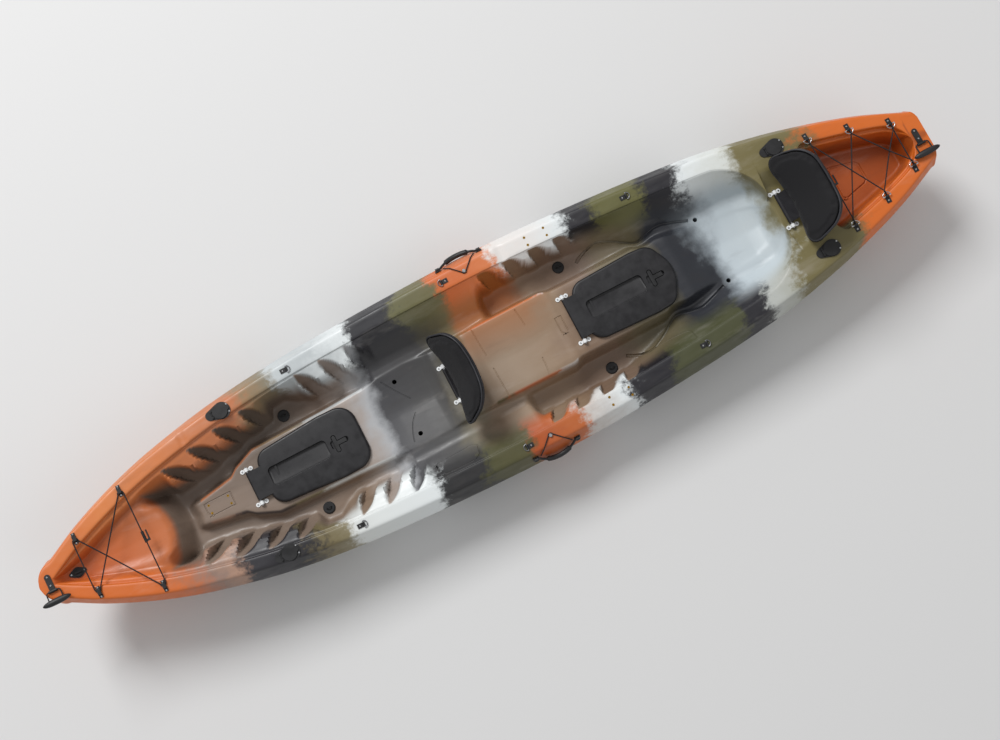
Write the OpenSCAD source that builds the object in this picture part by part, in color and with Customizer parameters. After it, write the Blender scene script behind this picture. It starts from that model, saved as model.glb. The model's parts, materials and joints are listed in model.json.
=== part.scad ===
// Tandem sit-on-top kayak: hollow moulded hull with hatches, backrests, rod holders, handles and deck fittings.
// Millimetres. X runs aft, Y to starboard, Z up. The keel stands on z = 0.

/* [Hull] */
// Length of the hull, bow to stern
hull_len = 3700; // [3560:10:3840]
// Greatest beam
beam = 856; // [830:2:890]
// Gunwale height at its lowest point
mid_h = 268; // [262:1:280]
// Deck height at the bow
bow_h = 395; // [380:1:410]
// Deck height at the stern
stern_h = 355; // [345:1:370]
// Wall thickness of the moulding
wall = 4; // [3.5:0.5:5]
// Half length of the straight part of the keel
keel_flat = 1000; // [900:10:1100]
// Rise of the keel at the bow
bow_rise = 290; // [260:5:310]
// Rise of the keel at the stern
stern_rise = 220; // [190:5:240]
// Rounding length of the nose in plan
nose_len = 60; // [50:1:75]
// Drop from the gunwale to the line of greatest beam
side_drop = 78; // [65:1:90]
// Width of the slanted outer face of the gunwale
slant_w = 42; // [34:1:48]
// Width of the step inside the gunwale
ledge_w = 18; // [12:1:22]

/* [Deck levels] */
// Footwell floor
floor_z = 125; // [115:1:132]
// Front console
console_z = 172; // [168:1:180]
// Front seat
seat_z = 156; // [150:1:162]
// Shelf behind the front seat
shelf_z = 200; // [196:1:205]
// Middle tray
tray_z = 224; // [218:1:228]
// Deck round the rear hatch
hatch_deck_z = 232; // [228:1:236]
// Rear seat
rear_seat_z = 166; // [160:1:172]
// Tank well floor
tank_z = 203; // [190:1:215]
// Bow well floor
bow_well_z = 286; // [280:1:292]
// Dip of the deck behind the rear seat
deck_dip = 48; // [44:1:52]
// Wave of the channels beside the rear hatch
channel_wave = 1; // [0.7:0.1:1.2]

/* [Foot rests] */
// Width of a foot rest at the floor
rest_w = 40; // [34:1:46]
// Pitch of the foremost foot rests
fore_pitch = 104; // [101:1:106]
// Pitch of the other foot rests
rest_pitch = 107; // [103:1:111]

/* [Scuppers and inserts] */
// Bore radius of a scupper
scupper_r = 17; // [15:0.5:18]
// Wall of a scupper tube
scupper_wall = 4; // [3.5:0.5:5]
// Head radius of a scupper plug
plug_head_r = 23.5; // [22:0.5:25]
// Bore radius of a seat drain
drain_r = 9; // [8:0.5:11]
// Outer radius of a brass insert
insert_r = 4.5; // [4:0.1:5]
// Thread core radius of a brass insert
insert_bore_r = 2.5; // [2.1:0.1:3]
// Length of a brass insert
insert_len = 14; // [12:1:16]
// Insert spacing along the boat
insert_dx = 82; // [76:1:86]
// Insert spacing across the boat
insert_dy = 32; // [28:1:34]

/* [Hatches] */
// Height of a lid over its deck
lid_h = 18; // [17:0.5:20]
// Thickness of the lid plate
lid_t = 6; // [5.5:0.5:7]
// Depth of the long groove
groove_d = 3; // [2:0.5:3.5]
// Half width of the hatch openings
opening_half = 90; // [84:1:92]
// Wall of the rim collar
collar_t = 3; // [2.5:0.5:4]
// Radius of the hinge rods
rod_r = 4; // [3.5:0.1:4.5]
// Height of a hinge rod over the deck
rod_h = 10; // [9.5:0.5:11]
// Length of a hinge strap
strap_l = 52; // [48:1:56]
// Width of a hinge strap
strap_w = 17; // [14:1:19]
// Half span of the front lid's straps
front_strap_y = 70; // [70:1:74]
// Half span of the rear lid's straps
rear_strap_y = 95; // [95:1:99]

/* [Backrests] */
// Height of the backrest panel
back_h = 240; // [225:1:250]
// Half width of the backrest panel
back_half = 184; // [170:1:187]
// Thickness of the backrest shell
back_t = 7; // [6:0.5:9]
// Radius of the backrest's curve across the boat
back_curve = 420; // [380:5:500]
// Thickness of the foam at its crown
pad_t = 26; // [20:1:30]
// Recline of the front backrest
front_recline = 26; // [20:1:30]
// Recline of the rear backrest
rear_recline = 40; // [36:1:44]
// Half span of the backrest straps
back_strap_y = 73; // [71:1:76]

/* [Rod holders] */
// Bore radius of a rod tube
tube_bore_r = 21; // [19:0.5:22]
// Wall of a rod tube
tube_wall = 3.5; // [3:0.5:4]
// Length of a rod tube
tube_len = 150; // [130:5:155]
// Lean of a rod tube
tube_lean = 25; // [18:1:28]
// Thickness of the floor of a rod tube
tube_floor = 5; // [4:0.5:8]
// Height of the relief round the foot of a rod tube
tube_relief = 12; // [8:1:16]
// Depth of the relief and of the widened mouth in the wall of the tube
relief_d = 0.8; // [0.5:0.1:1.5]
// Depth of the widened mouth of a rod tube, along the tube
tube_mouth = 6; // [5:0.5:8]
// Cap radius
cap_r = 29; // [28:0.5:30]

/* [Handles and rings] */
// Grip length of a bow or stern toggle
toggle_l = 106; // [96:1:112]
// Radius of a toggle
toggle_r = 12.5; // [11:0.5:13]
// Radius of the handle cords
cord_r = 2.5; // [2.3:0.1:2.6]
// Span of a side handle
side_span = 176; // [165:1:185]
// Reach of a side handle
side_reach = 33; // [30:1:36]
// Grip radius of a side handle
grip_r = 10; // [8:0.5:11]
// Wire radius of the rings
ring_r = 1.75; // [1.5:0.05:2]
// Radius of the gunwale rings
ring_size = 13; // [12:0.5:14]
// Radius of the tank well rings
tank_ring_size = 16; // [15:0.5:17]
// Radius of the bungee
bungee_r = 2.5; // [2.3:0.1:2.6]

/* [Hidden] */
$fn = 40;
gap = 0.2;
fit = 0.05;
hl = hull_len / 2;

// Small curve helpers
function clamp(t) = max(0, min(1, t));
function mix(a, b, t) = a + (b - a) * t;
function ease(a, b, x) = let (t = clamp((x - a) / (b - a))) t * t * (3 - 2 * t);
function seg(x, p) = max([for (k = [0:len(p) - 2]) p[k][0] <= x ? k : 0]);
function slope(p, k) = let (a = max(k - 1, 0), b = min(k + 1, len(p) - 1)) (p[b][1] - p[a][1]) / (p[b][0] - p[a][0]);
function curve(x, p) =
    let (k = seg(x, p), h = p[k + 1][0] - p[k][0], t = clamp((x - p[k][0]) / h))
    (1 + 2 * t) * (1 - t) * (1 - t) * p[k][1] + t * t * (3 - 2 * t) * p[k + 1][1]
    + h * t * (1 - t) * ((1 - t) * slope(p, k) - t * slope(p, k + 1));

// Outline in plan (share of the half beam along the half length) and width of the rim
PLAN = [[-0.968, 0.215], [-0.9, 0.38], [-0.8, 0.567], [-0.7, 0.704], [-0.55, 0.845], [-0.35, 0.942], [-0.01, 1],
    [0.22, 0.977], [0.55, 0.853], [0.7, 0.727], [0.8, 0.608], [0.9, 0.46], [0.988, 0.29]];
RIM = [[-0.97, 78], [-0.9, 80], [-0.72, 88], [-0.35, 98], [0, 105], [0.2, 106], [0.5, 100], [0.78, 91], [0.95, 72]];
sheer_low = -100;
tail_len = 24;
function nose(x) = let (t = clamp((nose_len - hl - x) / nose_len)) sqrt(max(0.004, 1 - t * t));
function tail(x) = 1 - 0.22 * pow(clamp((x - hl + tail_len) / tail_len), 4);
function half_beam(x) = beam / 2 * curve(x / hl, PLAN) * nose(x) * tail(x);
function sheer(x) = x < sheer_low
    ? mid_h + (bow_h - mid_h) * pow((sheer_low - x) / (sheer_low + hl), 2)
    : mid_h + (stern_h - mid_h) * pow((x - sheer_low) / (hl - sheer_low), 1.7);
function keel_z(x) = x < -keel_flat ? bow_rise * pow((-keel_flat - x) / (hl - keel_flat), 5)
    : x > keel_flat ? stern_rise * pow((x - keel_flat) / (hl - keel_flat), 5) : 0;
function ends(x) = ease(900, 1700, abs(x));
function slant(x) = min(slant_w * (1 - 0.4 * ends(x)), 0.25 * half_beam(x));
function gun_out(x) = half_beam(x) - slant(x);
function gun_in(x) = min(max(half_beam(x) - curve(x / hl, RIM), 8), 0.9 * gun_out(x));
function gun_mid(x) = (gun_in(x) + gun_out(x)) / 2;

// Wells: cockpit from the bow to the rear seat, then the tank well
bow_well_x = -hl + 55;
bowl_x = 930;
bowl_end = 1222;
tank_x0 = 1364;
tank_x1 = hl - 60;
function bowl_w(x) = 275 * pow(max(0.02, 1 - pow(clamp((x - bowl_x) / (bowl_end - bowl_x)), 2.6)), 1 / 2.6);
function tank_w(x) = let (a = clamp((tank_x0 + 60 - x) / 60), b = clamp((x - tank_x1 + 70) / 70))
    gun_in(x) * sqrt(max(0.02, 1 - a * a)) * sqrt(max(0.02, 1 - b * b));
function in_well(x) = x >= bow_well_x && x <= bowl_end;
function in_tank(x) = x >= tank_x0 && x <= tank_x1;
function well_w(x) = x > bowl_x && x < bowl_end ? min(gun_in(x), bowl_w(x)) : in_tank(x) ? tank_w(x) : gun_in(x);
LEDGE = [[-1300, 1.1], [-700, 0.5], [-500, 0.2], [900, 0.2], [1200, 0.2], [1300, 1]];
function ledge_in(x) = well_w(x) - min(ledge_w * lookup(x, LEDGE), 0.25 * well_w(x));

// Heights along the boat: centre line, edge of the raised middle, floor beside it
b0 = bow_well_x;
bw = bow_well_z;
rs = rear_seat_z;
MIDDLE = [[b0, sheer(b0) - 4], [b0 + 27, bw + 42], [b0 + 105, bw + 7], [-1560, bw + 1], [-1400, bw - 2], [-1372, bw - 6],
    [-1350, bw - 24], [-1325, floor_z + 40], [-1310, floor_z + 8], [-1290, floor_z + 8], [-1258, console_z],
    [-560, console_z], [-505, console_z + 2], [-470, seat_z + 9], [-420, seat_z + 1], [-320, seat_z - 1],
    [-262, seat_z + 2], [-230, seat_z + 22], [-212, shelf_z], [-120, shelf_z], [-76, tray_z + 12], [-52, tray_z + 12],
    [-38, tray_z], [272, tray_z], [292, hatch_deck_z], [800, hatch_deck_z], [930, rs + 10], [956, rs + 2], [1110, rs],
    [1165, rs + 12], [1200, rs + 54], [bowl_end, sheer(bowl_end) - deck_dip]];
EDGE = [[b0, sheer(b0) - 4], [b0 + 27, bw + 42], [b0 + 105, bw + 7], [-1560, bw + 3], [-1400, bw], [-1372, bw - 4],
    [-1350, bw - 24], [-1325, floor_z + 40], [-1310, floor_z + 3], [-1295, floor_z + 3], [-1262, console_z],
    [-560, console_z], [-505, console_z + 4], [-470, seat_z + 22], [-320, seat_z + 22], [-262, seat_z + 24],
    [-230, seat_z + 34], [-212, shelf_z], [-120, shelf_z], [-76, tray_z + 12], [292, tray_z + 12], [310, hatch_deck_z],
    [800, hatch_deck_z], [930, rs + 12], [956, rs + 6], [1110, rs + 6], [1165, rs + 24], [1200, rs + 64],
    [bowl_end, sheer(bowl_end) - deck_dip + 2]];
FLOOR = [[b0, sheer(b0) - 4], [b0 + 27, bw + 42], [b0 + 105, bw + 7], [-1560, bw + 11], [-1400, bw + 8], [-1372, bw + 2],
    [-1350, bw - 24], [-1325, floor_z + 40], [-1310, floor_z], [-520, floor_z], [-440, seat_z + 20], [45, seat_z + 24],
    [75, floor_z], [470, floor_z], [640, rs - 6], [815, rs + 10], [930, rs + 10], [956, rs + 8], [1110, rs + 10],
    [1165, rs + 30], [1200, rs + 70], [bowl_end, sheer(bowl_end) - deck_dip + 4]];
// Half width of the raised middle, run of its side, run of the side wall, depth of the step
CREST = [[b0, 3], [b0 + 27, 6], [b0 + 105, 24], [-1560, 50], [-1480, 60], [-1400, 60], [-1325, 30], [-1258, 44],
    [-1100, 72], [-1070, 96], [-985, 132], [-660, 138], [-505, 146], [-470, 150], [-320, 157], [-212, 150], [-52, 150],
    [272, 152], [310, 140], [700, 140], [800, 128], [930, 110], [956, 100], [1100, 90], [1165, 70], [1200, 40],
    [bowl_end, 40]];
RUN = [[b0, 2], [b0 + 105, 8], [-1560, 25], [-1400, 35], [-1310, 22], [-1258, 18], [-560, 18], [-470, 8], [-52, 10],
    [75, 22], [800, 22], [930, 20], [bowl_end, 12]];
SIDE = [[b0, 1], [b0 + 27, 6], [b0 + 105, 14], [-1560, 22], [-1400, 26], [-1330, 60], [-1293, 82], [-1183, 100],
    [-1078, 91], [-975, 81], [-866, 78], [-846, 32], [-786, 34], [-740, 70], [-690, 96], [-638, 100], [-531, 108],
    [-377, 112], [-38, 124], [45, 124], [75, 62], [399, 50], [470, 58], [565, 74 * channel_wave], [640, 100], [712, 136 * channel_wave],
    [815, 106], [930, 132], [956, 132], [1060, 110], [1120, 90], [bowl_end, 20]];
STEP = [[b0, 3], [b0 + 27, 16], [b0 + 105, 20], [-1200, 18], [-900, 12], [-600, 6], [800, 6], [1000, 3], [bowl_end, 1]];
// Bulge of the side walls that carry foot rests
BULGE = [[-1320, 0], [-1290, 1], [-900, 1], [-870, 0], [-720, 0], [-690, 1], [-430, 1], [-400, 0], [40, 0], [80, 1],
    [470, 1], [500, 0]];

// The bow well ends in a lip that is round in plan
lip_r = 183;
function lip(x, s) = x < -1250 ? x + lip_r - sqrt(lip_r * lip_r - pow(min(s, 170), 2)) : x;
function floor_edge(x) = max(ledge_in(x) - lookup(x, SIDE), 0.55 * ledge_in(x));

// Deck half of a section, centre to gunwale
function cockpit(x) =
    let (g = sheer(x), w = well_w(x), we = ledge_in(x), f = floor_edge(x), c = min(lookup(x, CREST), 0.8 * f),
        r = min(lookup(x, RUN), 0.3 * f, 0.6 * (f - c)), zl = g - lookup(x, STEP), zf = min(lookup(lip(x, f), FLOOR), g - 1),
        b = lookup(x, BULGE))
    [[0, min(lookup(x, MIDDLE), g - 1)], [c, min(lookup(lip(x, c), EDGE), g - 1)],
        [c + r, min(lookup(lip(x, c + r), FLOOR), g - 1)], [f, zf],
        [mix(f, we, mix(0.5, 0.32, b)), mix(zf, zl, mix(0.5, 0.82, b))], [we, zl], [w - 2, zl], [w, g]];
function tank(x) =
    let (g = sheer(x), w = well_w(x), we = w - min(16, 0.2 * w), f = we * 0.86,
        e = min(ease(tank_x0, tank_x0 + 14, x), 1 - ease(tank_x1 - 26, tank_x1, x)), zt = mix(g, tank_z, e),
        zw = mix(g, g - 24, e))
    [[0, zt], [f * 0.3, zt], [f * 0.6, zt], [f, zt], [mix(f, we, 0.5), mix(zt, zw, 0.5)], [we, zw],
        [w - 2, zw], [w, g]];
function dip(x, s) = x < bowl_end || x > tank_x0 ? 0
    : deck_dip * (1 - ease(95, 165, s)) * (1 - ease(1290, 1356, x));
function plain(x) = [for (q = [0, 0.2, 0.42, 0.6, 0.72, 0.82, 0.92, 1]) let (s = gun_in(x) * q) [s, sheer(x) - dip(x, s)]];
function deck(x) = in_well(x) ? cockpit(x) : in_tank(x) ? tank(x) : plain(x);

// Hull half of a section, gunwale to keel: share of the half beam, height amidships, height at the ends
LOWER = [[1, 1, 1], [0.9, 0.45, 0.74], [0.72, 0.14, 0.48], [0.56, 0, 0.33], [0.44, 0, 0.25], [0.26, 0.1, 0.12],
    [0.105, 0, 0.03]];
function bottom(x, t) =
    let (hb = half_beam(x), g = sheer(x), e = ends(x), zk = keel_z(x), zb = g - mix(side_drop, 60, e))
    concat([[gun_out(x) - t, g - 1.4 * t]],
        [for (q = LOWER) [q[0] * (hb - t), zk + (zb - zk) * mix(q[1], q[2], e) + (q[0] == 1 ? 0 : t)]]);
function outer_half(x) = concat(deck(x), bottom(x, 0));
// The inside skin keeps the wall on both sides of every step, with more at the sharp turns
THICK = [[-1480, 0], [-1441, 7], [-1340, 7], [-1300, 0], [-870, 0], [-860, 4], [-740, 4], [-730, 0]];
function inner_half(x) =
    let (e = lookup(x, THICK), d = [deck(x - wall), deck(x), deck(x + wall)], wi = min(max([for (q = d) q[7][0]]) + wall, gun_out(x) - wall - 2),
        low = function (k) min([for (q = d) q[k][1]]) - 1.1 * wall - e,
        out = function (k) max([for (q = d) q[k][0]]) + wall + min(e, 4) * (x > -1300 ? 1 : 0),
        up = d[1][1][1] > d[1][2][1] + 5,
        in = function (k) up ? max(min([for (q = d) q[k][0]]) - wall, k) : max([for (q = d) q[k][0]]) + wall * 0.6)
    concat([[0, min(low(0), low(1))], [in(1), low(1)], [in(2), low(2)], [max(out(3), in(2) + 1), low(3)],
        [min(out(5), wi - 1), min(low(5), low(6))], [wi, min(low(5), low(6))], [wi + 0.5, low(7) - 0.3 * wall]], bottom(x, wall));
function whole(x, h) = concat([for (p = h) [x, p[0], p[1]]], [for (k = [len(h) - 1:-1:1]) [x, -h[k][0], h[k][1]]]);

STATIONS = concat([-hl, -hl + 3, -hl + 12, -hl + 30, b0 - 1, b0 + 1, b0 + 27, b0 + 105], [-1560, -1490, -1440,
    -1405, -1372, -1350, -1325, -1310, -1290, -1258, -1183, -1070, -985, -866, -846, -786, -740, -690, -560, -520, -505, -470,
    -440, -320, -262, -230, -212, -120, -76, -52, -38, 45, 75, 272, 292, 310, 470, 520, 565, 602, 640, 676, 712, 764,
    815, 930, 956, 1060, 1110, 1165, 1200, 1215, 1221, 1224, 1280, 1354, 1363, 1366, 1378, 1397, 1580, 1720],
    [tank_x1 - 40, tank_x1 - 26, tank_x1 - 14, tank_x1 - 1, tank_x1 + 1, hl - 24, hl - 10, hl]);
GUNWALE = [for (x = STATIONS) [x, sheer(x)]];
function gun_z(x) = lookup(x, GUNWALE);
function gun_tilt(x) = -atan((gun_z(x + 10) - gun_z(x - 10)) / 20);

// The inside ends in flat-topped sections
function shut(r, d) = [for (p = r) [p[0] + d, p[1], min(p[2], r[0][2] - 2)]];
in_rings = [for (x = STATIONS) if (x > b0 + 20 && x < tank_x1 + 3) whole(x, inner_half(x))];
inside = concat([shut(in_rings[0], -1)], in_rings, [shut(in_rings[len(in_rings) - 1], 1)]);

module loft(rings) {
    n = len(rings[0]);
    m = len(rings);
    sides = [for (i = [0:m - 2]) for (k = [0:n - 1])
        let (a = i * n + k, b = i * n + (k + 1) % n)
        each k < n / 2 ? [[a, b, a + n], [b, b + n, a + n]] : [[a, b, b + n], [a, b + n, a + n]]];
    f = floor(n / 2);
    z = (m - 1) * n;
    caps = [for (k = [1:n - 2]) let (p = (f + k) % n, q = (f + k + 1) % n) each [[f, q, p], [z + f, z + p, z + q]]];
    polyhedron([for (r = rings) each r], concat(sides, caps), convexity = 12);
}

// Positions of the fittings
SCUPPERS = [[-821, 200, floor_z], [399, 225, floor_z], [1422, 105, tank_z]];
DRAINS = [[-377, 112, seat_z], [956, 136, rs]];
INSERT_PADS = [[-1181, 0, console_z], [360, gun_mid(360), gun_z(360)], [360, -gun_mid(360), gun_z(360)]];
function insert_at(p) = [for (i = [-1, 1], j = [-1, 1]) [p[0] + i * insert_dx / 2, p[1] + j * insert_dy / 2, p[2]]];
INSERTS = [for (p = INSERT_PADS) each insert_at(p)];
ROD_HOLDERS = [[-1006, gun_mid(-1006)], [1318, 222]];
FRONT_OPEN = [-930, -612, console_z];
REAR_OPEN = [430, 752, hatch_deck_z];
drain_x = b0 + 66;
drain_tilt = atan(35 / 78);
function drain_z(x) = bw + 42 - (x - b0 - 27) * 35 / 78;
NOTCHES = [-1172, 210];
SIDES = [1, -1];

// Foot rests: gunwale end and floor end of each
RESTS = concat([for (k = [0:3]) [-1293 + k * (fore_pitch + 12), -1183 + k * fore_pitch]],
    [for (k = [0:2]) [-700 + k * rest_pitch, -632 + k * rest_pitch]], [for (k = [0:3]) [94.5 + k * rest_pitch, 162.5 + k * rest_pitch]]);
function wall_z(x, y) = let (f = floor_edge(x), t = max((y - f) / (ledge_in(x) - f), 0))
    mix(lookup(x, FLOOR), gun_z(x) - lookup(x, STEP), t) + 4;
module rest_cut(xa, xe) {
    a = [xa, ledge_in(xa) + 1];
    e = [xe, floor_edge(xe) - 4];
    n = [a[1] - e[1], e[0] - a[0]] / norm(e - a);
    plan = [a + n * 5, a - n * 5, e - n * rest_w / 2, e + n * rest_w / 2];
    low = [for (p = plan) [p[0], p[1], wall_z(p[0], p[1])]];
    top = [for (p = plan) [p[0], p[1], 420]];
    polyhedron(concat(low, top), [[0, 1, 2], [0, 2, 3], [7, 6, 5, 4], [4, 5, 1, 0], [5, 6, 2, 1], [6, 7, 3, 2], [7, 4, 0, 3]]);
}
module round_plate(x0, x1, half, r, h) {
    translate([x0, r - half, 0]) cube([x1 - x0, 2 * (half - r), h]);
    translate([x0 + r, -half, 0]) cube([x1 - x0 - 2 * r, 2 * half, h]);
    for (x = [x0 + r, x1 - r], m = SIDES) translate([x, m * (half - r), 0]) cylinder(r = r, h = h, $fn = 24);
}
module rod_frame(p, m) {
    translate([p[0], m * p[1], gun_z(p[0])]) rotate([0, gun_tilt(p[0]), 0]) children();
}

// Hull: outer skin less the inside, with scupper tubes, bosses and openings
module hull_body() {
    color([0.62, 0.45, 0.33]) resize([0, 0, 0]) difference() {
        loft([for (x = STATIONS) whole(x, outer_half(x))]);
        difference() {
            loft(inside);
            for (p = SCUPPERS, m = SIDES) translate([p[0], m * p[1], -1]) cylinder(r = scupper_r + scupper_wall, h = p[2], $fn = 12);
            for (p = DRAINS, m = SIDES) translate([p[0], m * p[1], -1]) cylinder(r = drain_r + 4, h = p[2], $fn = 8);
            for (p = INSERTS) translate([p[0], p[1], p[2] - insert_len - 5]) rotate([0, 0, 11])
                cylinder(r = insert_r + 4, h = insert_len + 5, $fn = 8);
        }
        for (p = SCUPPERS, m = SIDES) translate([p[0], m * p[1], -1]) cylinder(r = scupper_r, h = 300, $fn = 16);
        for (p = DRAINS, m = SIDES) translate([p[0], m * p[1], -1]) cylinder(r = drain_r, h = 300, $fn = 10);
        for (p = INSERTS) translate([p[0], p[1], p[2] - insert_len - 1]) cylinder(r = insert_r + 0.5, h = 30, $fn = 8);
        for (o = [FRONT_OPEN, REAR_OPEN]) translate([0, 0, o[2] - 20]) round_plate(o[0], o[1], opening_half, 40, 60);
        for (p = ROD_HOLDERS, m = SIDES) rod_frame(p, m) rotate([0, tube_lean, 0]) translate([0, 0, -60]) rotate([0, 0, 9])
            cylinder(r = tube_bore_r + tube_wall + 0.9, h = 120, $fn = 16);
        translate([drain_x, 0, drain_z(drain_x)]) rotate([0, drain_tilt, 0]) cylinder(r = 13, h = 60, center = true, $fn = 16);
        for (x = NOTCHES, m = SIDES) translate([x, m * gun_mid(x), gun_z(x) + 36]) rotate([90, 0, 0]) cylinder(r = 40, h = 130, center = true, $fn = 36);
        for (r = RESTS) {
            rest_cut(r[0], r[1]);
            mirror([0, 1, 0]) rest_cut(r[0], r[1]);
        }
    }
}

// Small shared forms
module across(r, w) {
    rotate([90, 0, 0]) cylinder(r = r, h = w, center = true);
}
module along(r, l) {
    rotate([0, 90, 0]) cylinder(r = r, h = l, center = true);
}
module screw(h) {
    translate([0, 0, 0.3]) cylinder(r = 1.9, h = h);
    difference() {
        translate([0, 0, h + 0.1]) cylinder(r1 = 4, r2 = 3, h = 2.2);
        translate([-3, -0.5, h + 1.4]) cube([6, 1, 2]);
        translate([-0.5, -3, h + 1.4]) cube([1, 6, 2]);
    }
}
// Strap that holds a hinge rod down on the deck
strap_t = 3;
strap_hole = (strap_l - strap_w) / 2;
module strap() {
    hump = rod_r + 4;
    difference() {
        union() {
            translate([-strap_hole, -strap_w * 0.3, 0]) cube([2 * strap_hole, strap_w * 0.6, strap_t]);
            for (i = SIDES) translate([i * strap_hole, 0, 0]) cylinder(r = strap_w / 2, h = strap_t);
            translate([0, 0, rod_h]) across(hump, strap_w * 0.8);
            translate([-hump, -strap_w * 0.4, 0]) cube([2 * hump, strap_w * 0.8, rod_h]);
        }
        translate([0, 0, rod_h]) across(rod_r + fit, strap_w * 2);
        for (i = SIDES) translate([i * strap_hole, 0, -1]) cylinder(r = 2.2, h = strap_t + 2);
    }
}

// Hatches: hinge x, strap half span, tongue half width, deck, opening, lid corners, aft round, groove, T bar x
FRONT = [-1034, front_strap_y, front_strap_y - 12, console_z, FRONT_OPEN, [[-931, 58, 55], [-642, 58, 70]], [-702, 130],
    [-961, -716], -682];
REAR = [342, rear_strap_y, rear_strap_y - 12, hatch_deck_z, REAR_OPEN, [[437, 62, 60], [690, 67, 60]], [645, 130],
    [409, 648], 683];
latch_reach = 41;
module lid_plan(h, d) {
    hull() {
        for (c = h[5], m = SIDES) translate([c[0], m * c[1]]) circle(r = c[2] - d);
        translate([h[6][0], 0]) circle(r = h[6][1] - d);
    }
}
module tee(h, d) {
    tx = h[8];
    translate([tx - 7 - d, -26, 0]) cube([14 + 2 * d, 52, 30]);
    for (m = SIDES) translate([tx, m * 26, 0]) cylinder(r = 7 + d, h = 30);
    translate([tx, -8 - d, 0]) cube([latch_reach, 16 + 2 * d, 30]);
}
module hatch_lid(h) {
    z = h[3];
    px = h[8] + latch_reach;
    color([0.2, 0.2, 0.21]) difference() {
        union() {
            difference() {
                hull() {
                    translate([0, 0, z + 3.6]) linear_extrude(lid_h - 10.6) lid_plan(h, 0);
                    translate([0, 0, z + lid_h - 1]) linear_extrude(1) lid_plan(h, 6);
                }
                translate([0, 0, z]) linear_extrude(lid_h - lid_t) lid_plan(h, 6);
            }
            hull() {
                translate([h[0], 0, z + gap + rod_h]) across(rod_r + 4, 2 * h[2]);
                translate([h[0] + 14, -h[2], z + 3]) cube([44, 2 * h[2], lid_h - 4]);
            }
            translate([h[8] - 18, -42, z + 3]) cube([latch_reach + 34, 84, lid_h - lid_t - 2]);
            translate([h[8] + 14, -18, z - 20]) cube([latch_reach, 36, 24]);
        }
        translate([0, 0, z + lid_h - groove_d]) round_plate(h[7][0], h[7][1], 37.5, 18, 10);
        translate([0, 0, z + lid_h - 9]) tee(h, 1.2);
        translate([h[8] - 24, -15, z + lid_h - 7]) cube([20, 30, 20]);
        translate([px - 7, -9.2, z + lid_h - 12]) cube([14, 18.4, 20]);
        translate([px, 0, z + lid_h - 5.5]) across(2 + fit, 32);
        translate([h[0], 0, z + gap + rod_h]) across(rod_r + fit, 300);
        translate([h[8], -12.2, z - 14.2]) cube([100, 24.4, 4.4]);
    }
}
module hatch_rim(h) {
    z = h[3];
    o = h[4];
    color([0.13, 0.13, 0.14]) difference() {
        union() {
            translate([0, 0, z - 24]) round_plate(o[0] + 0.4, o[1] - 0.4, opening_half - 0.4, 39.6, 32);
            translate([0, 0, z + gap]) round_plate(o[0] - 9, o[1] + 9, opening_half + 9, 49, 3);
        }
        translate([0, 0, z - 30]) round_plate(o[0] + 0.4 + collar_t, o[1] - 0.4 - collar_t, opening_half - 0.4 - collar_t, 36.6, 60);
        translate([o[1] - 10, -14, z - 17]) cube([9.6, 28, 40]);
    }
}
module hatch_gasket(h) {
    o = h[4];
    color([0.1, 0.1, 0.1]) translate([0, 0, h[3] + 8.2]) difference() {
        round_plate(o[0] - 1.6, o[1] + 1.6, opening_half + 1.6, 41.6, lid_h - lid_t - 8.4);
        translate([0, 0, -1]) round_plate(o[0] + 6.4, o[1] - 6.4, opening_half - 6.4, 33.6, 20);
    }
}
module hinge_rod(x, z, half) {
    color([0.75, 0.75, 0.76]) translate([x, 0, z]) across(rod_r, 2 * half);
}
module latch_handle(h) {
    z = h[3] + lid_h;
    px = h[8] + latch_reach;
    color([0.12, 0.12, 0.13]) {
        intersection() {
            translate([0, 0, z - 6.5]) tee(h, 0);
            translate([h[8] - 60, -60, z - 7]) cube([200, 120, 6.5]);
        }
        translate([px, 0, z - 5.5]) across(5, 16);
        translate([px, 0, z - 5.5]) across(2, 30);
    }
}
module latch_tongue(h) {
    color([0.7, 0.7, 0.72]) translate([h[8] + 18, -12, h[3] - 14]) cube([h[4][1] - 2 - h[8] - 18, 24, 4]);
}
module hatch_straps() {
    color([0.85, 0.86, 0.87]) for (h = [FRONT, REAR], m = SIDES) translate([h[0], m * h[1], h[3] + gap]) strap();
}

// Backrests
front_back_x = -184;
rear_back_x = 1252;
BACKS = [[front_back_x, shelf_z, 0, front_recline], [rear_back_x, gun_z(rear_back_x) - deck_dip, gun_tilt(rear_back_x), rear_recline]];
function back_rod_z(b) = b[1] + gap + rod_h;
module back_straps() {
    color([0.85, 0.86, 0.87]) for (b = BACKS, m = SIDES) translate([b[0], m * back_strap_y, b[1] + gap]) translate([0, 0, rod_h])
        rotate([0, b[2], 0]) translate([0, 0, -rod_h]) strap();
}
module back_place(b) {
    translate([b[0], 0, back_rod_z(b)]) rotate([0, b[3], 0]) children();
}
module back_plan() {
    hull() for (m = SIDES) {
        translate([m * (back_half - 50), 98]) circle(r = 50);
        translate([m * 75, back_h - 95]) circle(r = 95);
    }
}
tongue_half = back_strap_y - 13;
module back_shell(b) {
    color([0.3, 0.3, 0.32]) back_place(b) difference() {
        union() {
            intersection() {
                rotate([90, 0, 90]) linear_extrude(200, center = true) back_plan();
                translate([-back_curve - back_t / 2, 0, 0]) difference() {
                    cylinder(r = back_curve + back_t, h = 300, $fn = 180);
                    translate([0, 0, -1]) cylinder(r = back_curve, h = 302, $fn = 180);
                }
            }
            translate([-back_t / 2 - 1, -tongue_half, 0]) cube([back_t, 2 * tongue_half, 56]);
            across(rod_r + 5, 2 * tongue_half);
        }
        across(rod_r + fit, 400);
    }
}
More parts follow.
